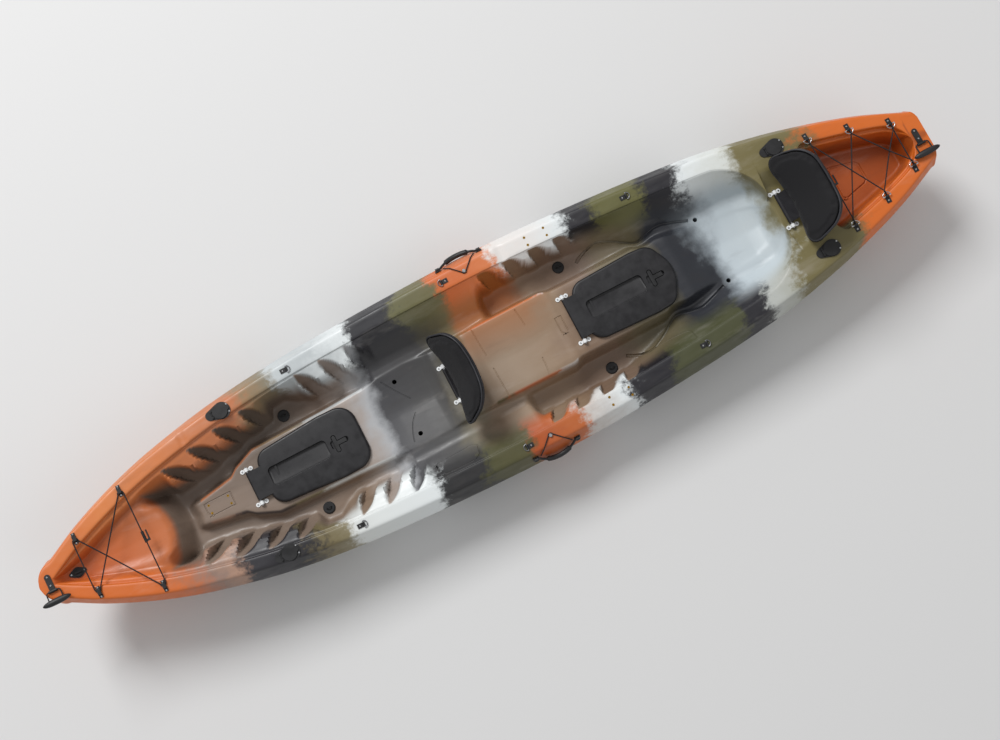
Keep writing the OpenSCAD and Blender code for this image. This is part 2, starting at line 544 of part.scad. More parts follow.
// Foam pad: rings of a rounded outline, crowned in front and following the shell behind
pad_mid = 143;
function round_pow(c) = sign(c) * pow(abs(c), 0.78);
function pad_point(r, a, d) =
    let (u = (back_half - 11) * r * round_pow(cos(a)), v = pad_mid + (sin(a) > 0 ? back_h - pad_mid - 10 : pad_mid - 64) * r * round_pow(sin(a)))
    [sqrt(pow(back_curve, 2) - u * u) - back_curve - back_t / 2 - 0.4 - d, u, v];
function pad_depth(r) = 6 + (pad_t - 6) * pow(1 - pow(r, 3.5), 0.6);
PAD_RINGS = [[0.01, pad_depth(0)], [0.4, pad_depth(0.4)], [0.65, pad_depth(0.65)], [0.82, pad_depth(0.82)], [0.93, pad_depth(0.93)],
    [0.985, pad_depth(0.985)], [1, 5], [1, 0], [0.8, 0], [0.55, 0], [0.3, 0], [0.01, 0]];
module back_pad(b) {
    color([0.1, 0.1, 0.11]) back_place(b) loft([for (q = PAD_RINGS) [for (k = [0:39]) pad_point(q[0], -k * 9, q[1])]]);
}

// Rod holders and their caps
flange_r = 33;
flange_t = 4;
cap_x = 2 - cap_r - 4;
cap_z = gap + flange_t + 4.2;
module rod_flange() {
    hull() {
        translate([9, 0, gap]) cylinder(r = flange_r, h = flange_t);
        translate([-38, 0, gap]) cylinder(r = 18, h = flange_t);
    }
}
module rod_holder() {
    top = gap + flange_t;
    difference() {
        union() {
            rod_flange();
            rotate([0, tube_lean, 0]) translate([0, 0, -tube_len]) cylinder(r = tube_bore_r + tube_wall, h = tube_len + 20);
        }
        translate([-100, -100, top]) cube([200, 200, 80]);
        rotate([0, tube_lean, 0]) translate([0, 0, tube_floor - tube_len]) {
            cylinder(r = tube_bore_r, h = tube_len + 60);
            cylinder(r = tube_bore_r + relief_d, h = tube_relief);
            translate([0, 0, tube_len - tube_floor - tube_mouth]) cylinder(r = tube_bore_r + relief_d, h = 60);
        }
        for (m = SIDES) translate([34, m * 15, 0]) cylinder(r = 2.2, h = 10);
    }
    for (m = SIDES) difference() {
        translate([cap_x - 4, m * 12 - 3, top - 0.5]) cube([8, 6, 8]);
        translate([cap_x, 0, cap_z]) across(1.5 + fit, 60);
    }
}
module rod_holders(p) {
    color([0.12, 0.12, 0.13]) for (m = SIDES) rod_frame(p, m) rod_holder();
}
module rod_cap(p, m) {
    color([0.16, 0.16, 0.17]) rod_frame(p, m) {
        translate([2, 0, gap + flange_t + 0.4]) cylinder(r = cap_r, h = 4);
        translate([2 + cap_r, 0, gap + flange_t + 0.4]) cylinder(r = 7, h = 4);
        translate([cap_x, -8, gap + flange_t + 1.2]) cube([14, 16, 3.2]);
        translate([cap_x, 0, cap_z]) across(3, 16);
        translate([cap_x, 0, cap_z]) across(1.5, 30);
    }
}

// Scupper plug with a pull loop
module plug(p, m) {
    color([0.15, 0.15, 0.16]) translate([p[0], m * p[1], p[2] + gap]) {
        translate([0, 0, -44]) cylinder(r1 = scupper_r - 2, r2 = scupper_r - 0.7, h = 45);
        cylinder(r = plug_head_r, h = 3);
        translate([0, 0, 3]) cylinder(r1 = plug_head_r, r2 = plug_head_r - 4, h = 2.5);
        translate([0, 0, 5]) rotate([90, 0, 0]) rotate_extrude(angle = 180) translate([10, 0]) circle(r = 2, $fn = 20);
    }
}

// Bow drain
module drain_place() {
    translate([drain_x, 0, drain_z(drain_x)]) rotate([0, drain_tilt, 0]) translate([0, 0, gap]) children();
}
module drain_flange() {
    color([0.12, 0.12, 0.13]) drain_place() difference() {
        union() {
            hull() {
                cylinder(r = 20, h = 3);
                for (i = SIDES) translate([i * 25, 0, 0]) cylinder(r = 8, h = 3);
            }
            translate([0, 0, -16]) cylinder(r = 12.3, h = 18);
        }
        translate([0, 0, -20]) cylinder(r = 10, h = 40);
        for (i = SIDES) translate([i * 25, 0, -1]) cylinder(r = 2.2, h = 6);
    }
}
module drain_plug() {
    color([0.1, 0.1, 0.11]) drain_place() {
        translate([0, 0, -12]) cylinder(r = 9.95, h = 17);
        translate([0, 0, 3.3]) cylinder(r = 15, h = 4);
        translate([-12, -2.5, 7]) cube([24, 5, 6]);
    }
}

// Bow and stern handles: plate with a barrel, cord loop, toggle
plate_in = 39;
toggle_arm = 41;
toggle_rise = 11;
ENDS = [-hl + plate_in, hl - plate_in];
module end_place(x) {
    translate([x, 0, gun_z(x) + gap]) rotate([0, gun_tilt(x), 0]) children();
}
barrel_y = -29;
barrel_z = 6.6;
module end_plate(x) {
    color([0.14, 0.14, 0.15]) end_place(x) difference() {
        union() {
            translate([-11, -24, 0]) cube([22, 48, 4]);
            for (m = SIDES) translate([0, m * 24, 0]) cylinder(r = 11, h = 4);
            translate([0, barrel_y, barrel_z]) along(5.2, 32);
            translate([-16, barrel_y - 5.2, 0]) cube([32, 10.4, barrel_z]);
        }
        translate([0, barrel_y, barrel_z]) along(cord_r + 0.08, 60);
        for (y = [-8, 25]) translate([0, y, -1]) cylinder(r = 2.2, h = 8);
    }
}
module swing(x) {
    end_place(x) translate([0, barrel_y, barrel_z]) rotate([-toggle_rise, 0, 0]) children();
}
module end_cord(x) {
    bend = 8;
    half = 26;
    color([0.1, 0.1, 0.1]) swing(x) {
        along(cord_r, 2 * (half - bend));
        for (m = SIDES) {
            translate([m * (half - bend), -bend, 0]) rotate([0, 0, m > 0 ? 0 : 90]) rotate_extrude(angle = 90) translate([bend, 0]) circle(r = cord_r, $fn = 24);
            translate([m * half, -bend, 0]) rotate([90, 0, 0]) cylinder(r = cord_r, h = toggle_arm - bend);
        }
    }
}
module end_toggle(x) {
    color([0.12, 0.12, 0.12]) swing(x) translate([0, -toggle_arm, 0]) difference() {
        union() {
            along(toggle_r, toggle_l - 14);
            for (m = SIDES) translate([m * (toggle_l / 2 - 7), 0, 0]) rotate([0, m * 90, 0]) cylinder(r1 = toggle_r, r2 = toggle_r - 5, h = 7);
        }
        for (i = [-4:4]) translate([i * 10, 0, 0]) if (abs(i) != 2 && abs(i) != 3) rotate([0, 90, 0]) rotate_extrude() translate([toggle_r + 0.6, 0]) circle(r = 2, $fn = 16);
        for (m = SIDES) translate([m * 26, -1, 0]) rotate([-90, 0, 0]) cylinder(r = cord_r + fit, h = 40);
    }
}

// Side handles on the slanted face of the gunwale
side_x = 56;
face_t = 0.45;
face_turn = atan(side_drop / slant_w);
pivot_h = 8;
side_half = side_span / 2 - 14;
bow_r = (side_half * side_half + side_reach * side_reach) / (2 * side_reach);
bow_a = asin(side_half / bow_r);
side_lift = 12;
module face_place(m) {
    mirror([0, m > 0 ? 0 : 1, 0]) translate([side_x, gun_out(side_x) + face_t * slant(side_x), gun_z(side_x) - face_t * side_drop])
        rotate([-face_turn, 0, 0]) translate([0, 0, 0.4]) children();
}
module side_fittings() {
    color([0.13, 0.13, 0.14]) for (m = SIDES) face_place(m) for (i = SIDES) translate([i * side_span / 2, 0, 0]) difference() {
        union() {
            translate([-12, -9, 0]) cube([24, 18, 3.5]);
            translate([0, 0, pivot_h]) along(6, 16);
            translate([-8, -6, 0]) cube([16, 12, pivot_h]);
        }
        translate([0, 0, pivot_h]) along(3 + fit, 40);
    }
}
// A round cord swept along a path, frames carried from point to point
function unit(v) = v / norm(v);
function path_dir(p, k) = unit(unit(p[min(k + 1, len(p) - 1)] - p[k == len(p) - 1 ? k - 1 : k]) + unit(p[k == 0 ? 1 : k] - p[max(k - 1, 0)]));
function carry(n, t) = unit(n - t * (n * t));
function normals(p, k, n) = let (c = carry(n, path_dir(p, k))) k == len(p) - 1 ? [c] : concat([c], normals(p, k + 1, c));
module cord(path, r, sides = 8) {
    ns = normals(path, 0, [0.02, 0.03, 1]);
    loft([for (k = [0:len(path) - 1]) let (t = path_dir(path, k), u = ns[k], v = cross(t, u), q = is_list(r) ? r[k] : r)
        [for (i = [0:sides - 1]) path[k] + q * (u * cos(i * 360 / sides) + v * sin(i * 360 / sides))]]);
}

// Side handle: thin ends that turn in the fittings, a bowed bar and a thick grip, swept as one bar
HALF_BAR = [[1, 5], [0.85, 5], [0.7, 5], [0.63, 5.5], [0.56, grip_r], [0.42, grip_r], [0.28, grip_r], [0.14, grip_r]];
function bow_point(q) = [bow_r * sin(q * bow_a), side_reach - bow_r + bow_r * cos(q * bow_a), 0];
module side_handle(m) {
    n = len(HALF_BAR);
    bar = concat([for (h = HALF_BAR) [-h[0], h[1]]], [[0, grip_r]], [for (k = [n - 1:-1:0]) HALF_BAR[k]]);
    path = concat([[-side_half - 18, 0, 0], [-side_half - 4.5, 0, 0]], [for (b = bar) bow_point(b[0])], [[side_half + 4.5, 0, 0], [side_half + 18, 0, 0]]);
    radii = concat([3, 3], [for (b = bar) b[1]], [3, 3]);
    color([0.14, 0.14, 0.15]) face_place(m) translate([0, 0, pivot_h]) rotate([side_lift, 0, 0]) cord(path, radii, 12);
}

// Paddle keepers above the side handles, looped round a rivet
keeper_y = gun_mid(side_x);
module paddle_keepers() {
    g = gun_z(side_x) + 3.6;
    o = gun_out(side_x);
    f = gun_z(side_x) - (face_t - 0.09) * side_drop;
    halfway = [[-66, o + (face_t - 0.09) * slant_w + 4.2, f + 2.2], [-46, o + 4, g - 1.6], [-38, o - 4, g], [-10, keeper_y, g], [-5, keeper_y - 7.5, g]];
    path = concat(halfway, [for (k = [4:-1:0]) [-halfway[k][0], halfway[k][1], halfway[k][2]]]);
    color([0.1, 0.1, 0.1]) for (m = SIDES) mirror([0, m > 0 ? 0 : 1, 0]) cord([for (q = path) [q[0] + side_x, q[1], q[2]]], 2.2);
}

// Tabs and rings
TABS = [[-726, 1], [-30, -1], [727, 1]];
TANK_TABS = [for (d = [405, 250, 104]) hl - d];
tab_h = 4.6;
tank_tab_h = 8.8;
tab_arm = 12;
module tab(h) {
    difference() {
        union() {
            translate([-14, -9, 0]) cube([24, 18, 2]);
            translate([tab_arm, 0, h]) across(4.4, 14);
            translate([tab_arm - 4.4, -7, 0]) cube([8.8, 14, h]);
        }
        translate([tab_arm, 0, h]) across(ring_r + fit, 40);
    }
}
module ring(size) {
    across(ring_r, 2 * size);
    rotate([0, 0, -90]) rotate_extrude(angle = 180) translate([size, 0]) circle(r = ring_r, $fn = 20);
    for (m = SIDES) translate([0, m * size, 0]) sphere(r = ring_r, $fn = 20);
}
module tab_place(t, m) {
    translate([t[0], m * gun_mid(t[0]), gun_z(t[0]) + gap]) rotate([0, gun_tilt(t[0]), 0]) rotate([0, 0, t[1] > 0 ? 0 : 180]) children();
}
module gunwale_tabs() {
    color([0.12, 0.12, 0.12]) for (t = TABS, m = SIDES) tab_place(t, m) tab(tab_h);
}
module gunwale_ring(t, m) {
    color([0.2, 0.2, 0.21]) tab_place(t, m) translate([tab_arm, 0, tab_h]) ring(ring_size);
}
module tank_place(x, m) {
    translate([x, m * (tank_w(x) + 20), gun_z(x) + gap]) rotate([0, gun_tilt(x), 0]) rotate([0, 0, -m * 90]) children();
}
module tank_tabs() {
    color([0.12, 0.12, 0.12]) for (x = TANK_TABS, m = SIDES) tank_place(x, m) tab(tank_tab_h);
}
module tank_rings() {
    color([0.2, 0.2, 0.21]) for (x = TANK_TABS, m = SIDES) tank_place(x, m) translate([tab_arm, 0, tank_tab_h]) ring(tank_ring_size);
}

// Bow pad eyes and the bungee through them
EYES = [-hl + 181, -hl + 394];
function eye_at(x, m) = [x, m * gun_mid(x), gun_z(x) + gap];
module pad_eyes() {
    color([0.12, 0.12, 0.12]) for (x = EYES, m = SIDES) translate(eye_at(x, m)) rotate([0, gun_tilt(x), 0]) difference() {
        translate([-7, 0, 0]) rotate([90, 0, 90]) linear_extrude(14) difference() {
            polygon([[-22, 0], [22, 0], [22, 3], [13, 3], [10, 12], [-10, 12], [-13, 3], [-22, 3]]);
            translate([-7, -1]) square([14, 10]);
        }
        for (i = SIDES) translate([0, i * 17.5, -1]) cylinder(r = 2.2, h = 6);
    }
}
function cross_x(x1, w1, x2, w2) = x1 + (x2 - x1) * w1 / (w1 + w2);
bow_mid = cross_x(EYES[0], gun_mid(EYES[0]), EYES[1], gun_mid(EYES[1]));
bow_mid_z = (gun_z(EYES[0]) + gun_z(EYES[1])) / 2 + 4.8;
function eye_turn(x, m, s) = let (c = eye_at(x, m) + [0, -m * 2, 4.6], k = tan(gun_tilt(x)))
    [for (q = [[-11, -12], [-9, -4], [-4, 0], [4, 0], [9, -4], [11, -12]]) c + [s * q[0], m * q[1], -s * q[0] * k]];
bow_path = let (e = EYES[1] + 11, z = eye_turn(EYES[1], -1, -1)[0][2])
    concat([[e, -1, z]], eye_turn(EYES[1], -1, -1), [[bow_mid, 0, bow_mid_z - 3.2]], eye_turn(EYES[0], 1, 1 - 2),
        eye_turn(EYES[0], -1, 1), [[bow_mid, 0, bow_mid_z + 3.2]], eye_turn(EYES[1], 1, 1), [[e, 1, z]]);
module bow_bungee() {
    color([0.1, 0.1, 0.1]) cord(bow_path, bungee_r);
}
// Stern bungee, turned round the wire of each tank ring
function tank_hold(x, m) = [x, m * (tank_w(x) + 20 - tab_arm - tank_ring_size), gun_z(x) + gap + tank_tab_h];
function ring_turn(x, m, s) = let (c = tank_hold(x, m))
    [for (q = [[-9, 5.2], [-1, 5.4], [3.6, 3.9], [5.2, 0], [3.6, -3.9], [-1, -5.4], [-9, -5.2]]) c + [0, m * q[0], s * q[1]]];
function tank_mid(a, b, d) = let (p = tank_hold(a, 1), q = tank_hold(b, 1)) [cross_x(p[0], p[1], q[0], q[1]), 0, (p[2] + q[2]) / 2 + d];
stern_path = let (t = TANK_TABS, c = tank_hold(t[0], 1))
    concat([[c[0], -1, c[2] + 5.2]], ring_turn(t[0], -1, 1), [tank_mid(t[0], t[1], -3.4)], ring_turn(t[1], 1, -1),
        [tank_mid(t[1], t[2], 3.4)], ring_turn(t[2], -1, 1), ring_turn(t[2], 1, -1), [tank_mid(t[1], t[2], -3.4)],
        ring_turn(t[1], -1, -1), [tank_mid(t[0], t[1], 3.4)], ring_turn(t[0], 1, -1), [[c[0], 1, c[2] + 5.2]]);
module stern_bungee() {
    color([0.1, 0.1, 0.1]) cord(stern_path, bungee_r);
}
module hook() {
    difference() {
        union() {
            across(5.5, 44);
            translate([3, -20, -2.5]) cube([14, 8, 5]);
            translate([12, -20, -2.5]) cube([5, 42, 5]);
        }
        across(bungee_r + 0.1, 60);
    }
}
module bungee_hooks() {
    color([0.13, 0.13, 0.14]) for (p = [bow_path[0], stern_path[0]]) translate([p[0], 0, p[2]]) hook();
}

// Brass inserts, screws and rivets
module inserts() {
    color([0.78, 0.62, 0.28]) for (p = INSERTS) translate([p[0], p[1], p[2] - insert_len]) difference() {
        cylinder(r = insert_r, h = insert_len + 0.3);
        translate([0, 0, 2]) cylinder(r = insert_bore_r, h = insert_len);
    }
}
module fasteners() {
    color([0.72, 0.72, 0.74]) {
        for (h = [FRONT, REAR], m = SIDES, i = SIDES) translate([h[0] + i * strap_hole, m * h[1], h[3] + gap]) screw(strap_t);
        for (b = BACKS, m = SIDES, i = SIDES) translate([b[0], m * back_strap_y, b[1] + gap + rod_h]) rotate([0, b[2], 0])
            translate([i * strap_hole, 0, -rod_h]) screw(strap_t);
        for (p = ROD_HOLDERS, m = SIDES, i = SIDES) rod_frame(p, m) translate([34, i * 15, gap]) screw(flange_t);
        for (i = SIDES) drain_place() translate([i * 25, 0, 0]) screw(3);
        for (x = ENDS, y = [-8, 25]) end_place(x) translate([0, y, 0]) screw(4);
        for (x = EYES, m = SIDES, i = SIDES) translate(eye_at(x, m)) rotate([0, gun_tilt(x), 0]) translate([0, i * 17.5, 0]) screw(3);
        for (t = TABS, m = SIDES) tab_place(t, m) translate([-4, 0, 2.1]) cylinder(r1 = 4, r2 = 2.5, h = 2);
        for (x = TANK_TABS, m = SIDES) tank_place(x, m) translate([-4, 0, 2.1]) cylinder(r1 = 4, r2 = 2.5, h = 2);
        for (m = SIDES) translate([side_x, m * keeper_y, gun_z(side_x) + gap]) {
            cylinder(r = 4.5, h = 7);
            translate([0, 0, 7]) cylinder(r1 = 7, r2 = 5, h = 2);
        }
    }
}

hull_body();  // hull
hatch_rim(FRONT);  // front_hatch_rim
hatch_lid(FRONT);  // front_hatch_lid
hatch_gasket(FRONT);  // front_hatch_gasket
hinge_rod(FRONT[0], FRONT[3] + gap + rod_h, FRONT[1] + 11);  // front_hatch_rod
latch_handle(FRONT);  // front_latch_handle
latch_tongue(FRONT);  // front_latch_tongue
hatch_rim(REAR);  // rear_hatch_rim
hatch_lid(REAR);  // rear_hatch_lid
hatch_gasket(REAR);  // rear_hatch_gasket
hinge_rod(REAR[0], REAR[3] + gap + rod_h, REAR[1] + 11);  // rear_hatch_rod
latch_handle(REAR);  // rear_latch_handle
latch_tongue(REAR);  // rear_latch_tongue
hatch_straps();
back_shell(BACKS[0]);  // front_backrest_shell
back_pad(BACKS[0]);  // front_backrest_pad
hinge_rod(BACKS[0][0], back_rod_z(BACKS[0]), back_strap_y + 11);  // front_backrest_rod
back_shell(BACKS[1]);  // rear_backrest_shell
back_pad(BACKS[1]);  // rear_backrest_pad
hinge_rod(BACKS[1][0], back_rod_z(BACKS[1]), back_strap_y + 11);  // rear_backrest_rod
back_straps();  // backrest_straps
rod_holders(ROD_HOLDERS[0]);  // front_rod_holders
rod_holders(ROD_HOLDERS[1]);  // rear_rod_holders
rod_cap(ROD_HOLDERS[0], 1);  // rod_cap_front_stbd
rod_cap(ROD_HOLDERS[0], -1);  // rod_cap_front_port
rod_cap(ROD_HOLDERS[1], 1);  // rod_cap_rear_stbd
rod_cap(ROD_HOLDERS[1], -1);  // rod_cap_rear_port
plug(SCUPPERS[0], 1);  // plug_front_stbd
plug(SCUPPERS[0], -1);  // plug_front_port
plug(SCUPPERS[1], 1);  // plug_rear_stbd
plug(SCUPPERS[1], -1);  // plug_rear_port
plug(SCUPPERS[2], 1);  // plug_tank_stbd
plug(SCUPPERS[2], -1);  // plug_tank_port
drain_flange();
drain_plug();
end_plate(ENDS[0]);  // bow_handle_plate
end_cord(ENDS[0]);  // bow_handle_cord
end_toggle(ENDS[0]);  // bow_handle_toggle
end_plate(ENDS[1]);  // stern_handle_plate
end_cord(ENDS[1]);  // stern_handle_cord
end_toggle(ENDS[1]);  // stern_handle_toggle
side_handle(1);  // side_handle_stbd
side_handle(-1);  // side_handle_port
side_fittings();  // side_handle_fittings
paddle_keepers();
gunwale_tabs();
gunwale_ring(TABS[0], 1);  // ring_fore_stbd
gunwale_ring(TABS[0], -1);  // ring_fore_port
gunwale_ring(TABS[1], 1);  // ring_mid_stbd
gunwale_ring(TABS[1], -1);  // ring_mid_port
gunwale_ring(TABS[2], 1);  // ring_aft_stbd
gunwale_ring(TABS[2], -1);  // ring_aft_port
tank_tabs();
tank_rings();
pad_eyes();  // bow_pad_eyes
bow_bungee();
stern_bungee();
bungee_hooks();
inserts();  // brass_inserts
fasteners();  // deck_screws
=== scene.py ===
# Tandem sit-on-top kayak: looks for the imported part
# Lengths in the formulas are millimetres, as in the part's source, unless a name ends in _M
import functools
import json
import math

import bmesh
import bpy
from mathutils import Matrix, Vector

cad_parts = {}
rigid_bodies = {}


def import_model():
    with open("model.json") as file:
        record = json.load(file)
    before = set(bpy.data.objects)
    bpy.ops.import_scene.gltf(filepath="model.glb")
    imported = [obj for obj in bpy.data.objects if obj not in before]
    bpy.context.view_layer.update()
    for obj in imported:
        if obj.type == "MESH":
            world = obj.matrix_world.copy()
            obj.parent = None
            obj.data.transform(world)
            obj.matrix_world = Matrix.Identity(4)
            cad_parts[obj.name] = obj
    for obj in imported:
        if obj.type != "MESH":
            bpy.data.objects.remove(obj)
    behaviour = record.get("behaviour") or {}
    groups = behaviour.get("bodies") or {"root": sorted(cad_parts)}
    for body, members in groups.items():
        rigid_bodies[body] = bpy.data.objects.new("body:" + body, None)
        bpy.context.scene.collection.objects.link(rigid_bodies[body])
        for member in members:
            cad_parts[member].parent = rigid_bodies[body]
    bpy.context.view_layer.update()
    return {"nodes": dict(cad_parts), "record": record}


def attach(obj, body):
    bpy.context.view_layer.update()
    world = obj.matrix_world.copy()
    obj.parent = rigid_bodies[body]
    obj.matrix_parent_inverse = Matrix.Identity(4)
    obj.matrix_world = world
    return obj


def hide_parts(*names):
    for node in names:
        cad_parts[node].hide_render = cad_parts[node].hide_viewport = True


for spare in list(bpy.data.objects):
    bpy.data.objects.remove(spare)
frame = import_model()
NODES = frame["nodes"]
scene = bpy.context.scene
scene.view_settings.view_transform = "Standard"
MM = 0.001
SIDES = (1, -1)


# Camera: above the boat, a little aft of square, at the photograph's distance
AZIMUTH, ELEVATION, ROLL = (math.radians(a) for a in (-21.334, 82.58, -6.204))
AIM_M = Vector((0.00511, -0.03935, 0.2))
DISTANCE_M = 4.8
SENSOR = 36
# focal length as a share of the picture's width
FOCAL = 1.24963


def make_camera():
    flat = math.cos(ELEVATION)
    back = Vector((math.sin(AZIMUTH) * flat, -math.cos(AZIMUTH) * flat, math.sin(ELEVATION)))
    right = Vector((math.cos(AZIMUTH), math.sin(AZIMUTH), 0))
    up = back.cross(right)
    c, k = math.cos(ROLL), math.sin(ROLL)
    right, up = c * right + k * up, c * up - k * right
    turn = Matrix((right, up, back)).transposed().to_4x4()
    data = bpy.data.cameras.new("camera")
    data.sensor_width = SENSOR
    data.lens = FOCAL * SENSOR
    data.clip_end = 100
    cam = bpy.data.objects.new("camera", data)
    cam.matrix_world = Matrix.Translation(AIM_M + back * DISTANCE_M) @ turn
    scene.collection.objects.link(cam)
    scene.camera = cam


make_camera()


# Curve helpers and hull tables, the same as in the part's source
def clamp(t):
    return max(0.0, min(1.0, t))


def mix(a, b, t):
    return a + (b - a) * t


def ease(a, b, x):
    t = clamp((x - a) / (b - a))
    return t * t * (3 - 2 * t)


def lookup(x, table):
    if x <= table[0][0]:
        return table[0][1]
    for (xa, ya), (xb, yb) in zip(table, table[1:]):
        if x <= xb:
            return mix(ya, yb, (x - xa) / (xb - xa))
    return table[-1][1]


def slope(p, k):
    a, b = max(k - 1, 0), min(k + 1, len(p) - 1)
    return (p[b][1] - p[a][1]) / (p[b][0] - p[a][0])


def curve(x, p):
    k = max([i for i in range(len(p) - 1) if p[i][0] <= x] or [0])
    h = p[k + 1][0] - p[k][0]
    t = clamp((x - p[k][0]) / h)
    ends_part = (1 + 2 * t) * (1 - t) * (1 - t) * p[k][1] + t * t * (3 - 2 * t) * p[k + 1][1]
    return ends_part + h * t * (1 - t) * ((1 - t) * slope(p, k) - t * slope(p, k + 1))


# Half length, beam, and heights of the sheer
HL = 1850.0
BEAM, MID_H, BOW_H, STERN_H = 856.0, 268.0, 395.0, 355.0
# Heights of footwells, console, front seat, shelf behind it, tray and rear hatch
FLOOR_Z, CONSOLE_Z, SEAT_Z, SHELF_Z, TRAY_Z, HATCH_Z = 125.0, 172.0, 156.0, 200.0, 224.0, 232.0
# Heights of rear seat, tank well and bow well, and the drop of the bridge
RS, TANK_Z, BW, DIP = 166.0, 203.0, 286.0, 48.0
# Ends of the bow well, the rear seat's bowl and the tank well
B0 = -HL + 55
BOWL_X, BOWL_END, TANK_X0, TANK_X1 = 930.0, 1222.0, 1364.0, HL - 60
# Half width and gunwale's width, by shares of the half length
PLAN = [(-0.968, 0.215), (-0.9, 0.38), (-0.8, 0.567), (-0.7, 0.704), (-0.55, 0.845), (-0.35, 0.942),
        (-0.01, 1), (0.22, 0.977), (0.55, 0.853), (0.7, 0.727), (0.8, 0.608), (0.9, 0.46),
        (0.988, 0.29)]
RIM = [(-0.97, 78), (-0.9, 80), (-0.72, 88), (-0.35, 98), (0, 105), (0.2, 106), (0.5, 100), (0.78, 91),
       (0.95, 72)]


def half_beam(x):
    t = clamp((60 - HL - x) / 60)
    tail = 1 - 0.22 * clamp((x - HL + 24) / 24) ** 4
    return BEAM / 2 * curve(x / HL, PLAN) * math.sqrt(max(0.004, 1 - t * t)) * tail


def sheer(x):
    if x < -100:
        return MID_H + (BOW_H - MID_H) * ((-100 - x) / (HL - 100)) ** 2
    return MID_H + (STERN_H - MID_H) * ((x + 100) / (HL + 100)) ** 1.7


def keel_z(x):
    if x < -1000:
        return 290 * ((-1000 - x) / (HL - 1000)) ** 5
    return 220 * ((x - 1000) / (HL - 1000)) ** 5 if x > 1000 else 0.0


def ends(x):
    return ease(900, 1700, abs(x))


def gun_out(x):
    hb = half_beam(x)
    return hb - min(42 * (1 - 0.4 * ends(x)), 0.25 * hb)


def gun_in(x):
    return min(max(half_beam(x) - curve(x / HL, RIM), 8), 0.9 * gun_out(x))


def gun_mid(x):
    return (gun_in(x) + gun_out(x)) / 2


def bowl_w(x):
    return 275 * max(0.02, 1 - clamp((x - BOWL_X) / (BOWL_END - BOWL_X)) ** 2.6) ** (1 / 2.6)


def tank_w(x):
    a, b = clamp((TANK_X0 + 60 - x) / 60), clamp((x - TANK_X1 + 70) / 70)
    return gun_in(x) * math.sqrt(max(0.02, 1 - a * a)) * math.sqrt(max(0.02, 1 - b * b))


def in_well(x):
    return B0 <= x <= BOWL_END


def in_tank(x):
    return TANK_X0 <= x <= TANK_X1


def well_w(x):
    if BOWL_X < x < BOWL_END:
        return min(gun_in(x), bowl_w(x))
    return tank_w(x) if in_tank(x) else gun_in(x)


# Ledge inside the gunwale, as a share of its full width
LEDGE = [(-1300, 1.1), (-700, 0.5), (-500, 0.2), (900, 0.2), (1200, 0.2), (1300, 1)]


def ledge_in(x):
    return well_w(x) - min(18 * lookup(x, LEDGE), 0.25 * well_w(x))


# Heights of the deck on the centre line, at the crest beside it and on the floor, by place along the boat
MIDDLE = [(B0, sheer(B0) - 4), (B0 + 27, BW + 42), (B0 + 105, BW + 7), (-1560, BW + 1), (-1400, BW - 2),
          (-1372, BW - 6), (-1350, BW - 24), (-1325, FLOOR_Z + 40), (-1310, FLOOR_Z + 8),
          (-1290, FLOOR_Z + 8), (-1258, CONSOLE_Z), (-560, CONSOLE_Z), (-505, CONSOLE_Z + 2),
          (-470, SEAT_Z + 9), (-420, SEAT_Z + 1), (-320, SEAT_Z - 1), (-262, SEAT_Z + 2),
          (-230, SEAT_Z + 22), (-212, SHELF_Z), (-120, SHELF_Z), (-76, TRAY_Z + 12), (-52, TRAY_Z + 12),
          (-38, TRAY_Z), (272, TRAY_Z), (292, HATCH_Z), (800, HATCH_Z), (930, RS + 10), (956, RS + 2),
          (1110, RS), (1165, RS + 12), (1200, RS + 54), (BOWL_END, sheer(BOWL_END) - DIP)]
EDGE = [(B0, sheer(B0) - 4), (B0 + 27, BW + 42), (B0 + 105, BW + 7), (-1560, BW + 3), (-1400, BW),
        (-1372, BW - 4), (-1350, BW - 24), (-1325, FLOOR_Z + 40), (-1310, FLOOR_Z + 3),
        (-1295, FLOOR_Z + 3), (-1262, CONSOLE_Z), (-560, CONSOLE_Z), (-505, CONSOLE_Z + 4),
        (-470, SEAT_Z + 22), (-320, SEAT_Z + 22), (-262, SEAT_Z + 24), (-230, SEAT_Z + 34),
        (-212, SHELF_Z), (-120, SHELF_Z), (-76, TRAY_Z + 12), (292, TRAY_Z + 12), (310, HATCH_Z),
        (800, HATCH_Z), (930, RS + 12), (956, RS + 6), (1110, RS + 6), (1165, RS + 24), (1200, RS + 64),
        (BOWL_END, sheer(BOWL_END) - DIP + 2)]
FLOOR = [(B0, sheer(B0) - 4), (B0 + 27, BW + 42), (B0 + 105, BW + 7), (-1560, BW + 11), (-1400, BW + 8),
         (-1372, BW + 2), (-1350, BW - 24), (-1325, FLOOR_Z + 40), (-1310, FLOOR_Z), (-520, FLOOR_Z),
         (-440, SEAT_Z + 20), (45, SEAT_Z + 24), (75, FLOOR_Z), (470, FLOOR_Z), (640, RS - 6),
         (815, RS + 10), (930, RS + 10), (956, RS + 8), (1110, RS + 10), (1165, RS + 30),
         (1200, RS + 70), (BOWL_END, sheer(BOWL_END) - DIP + 4)]
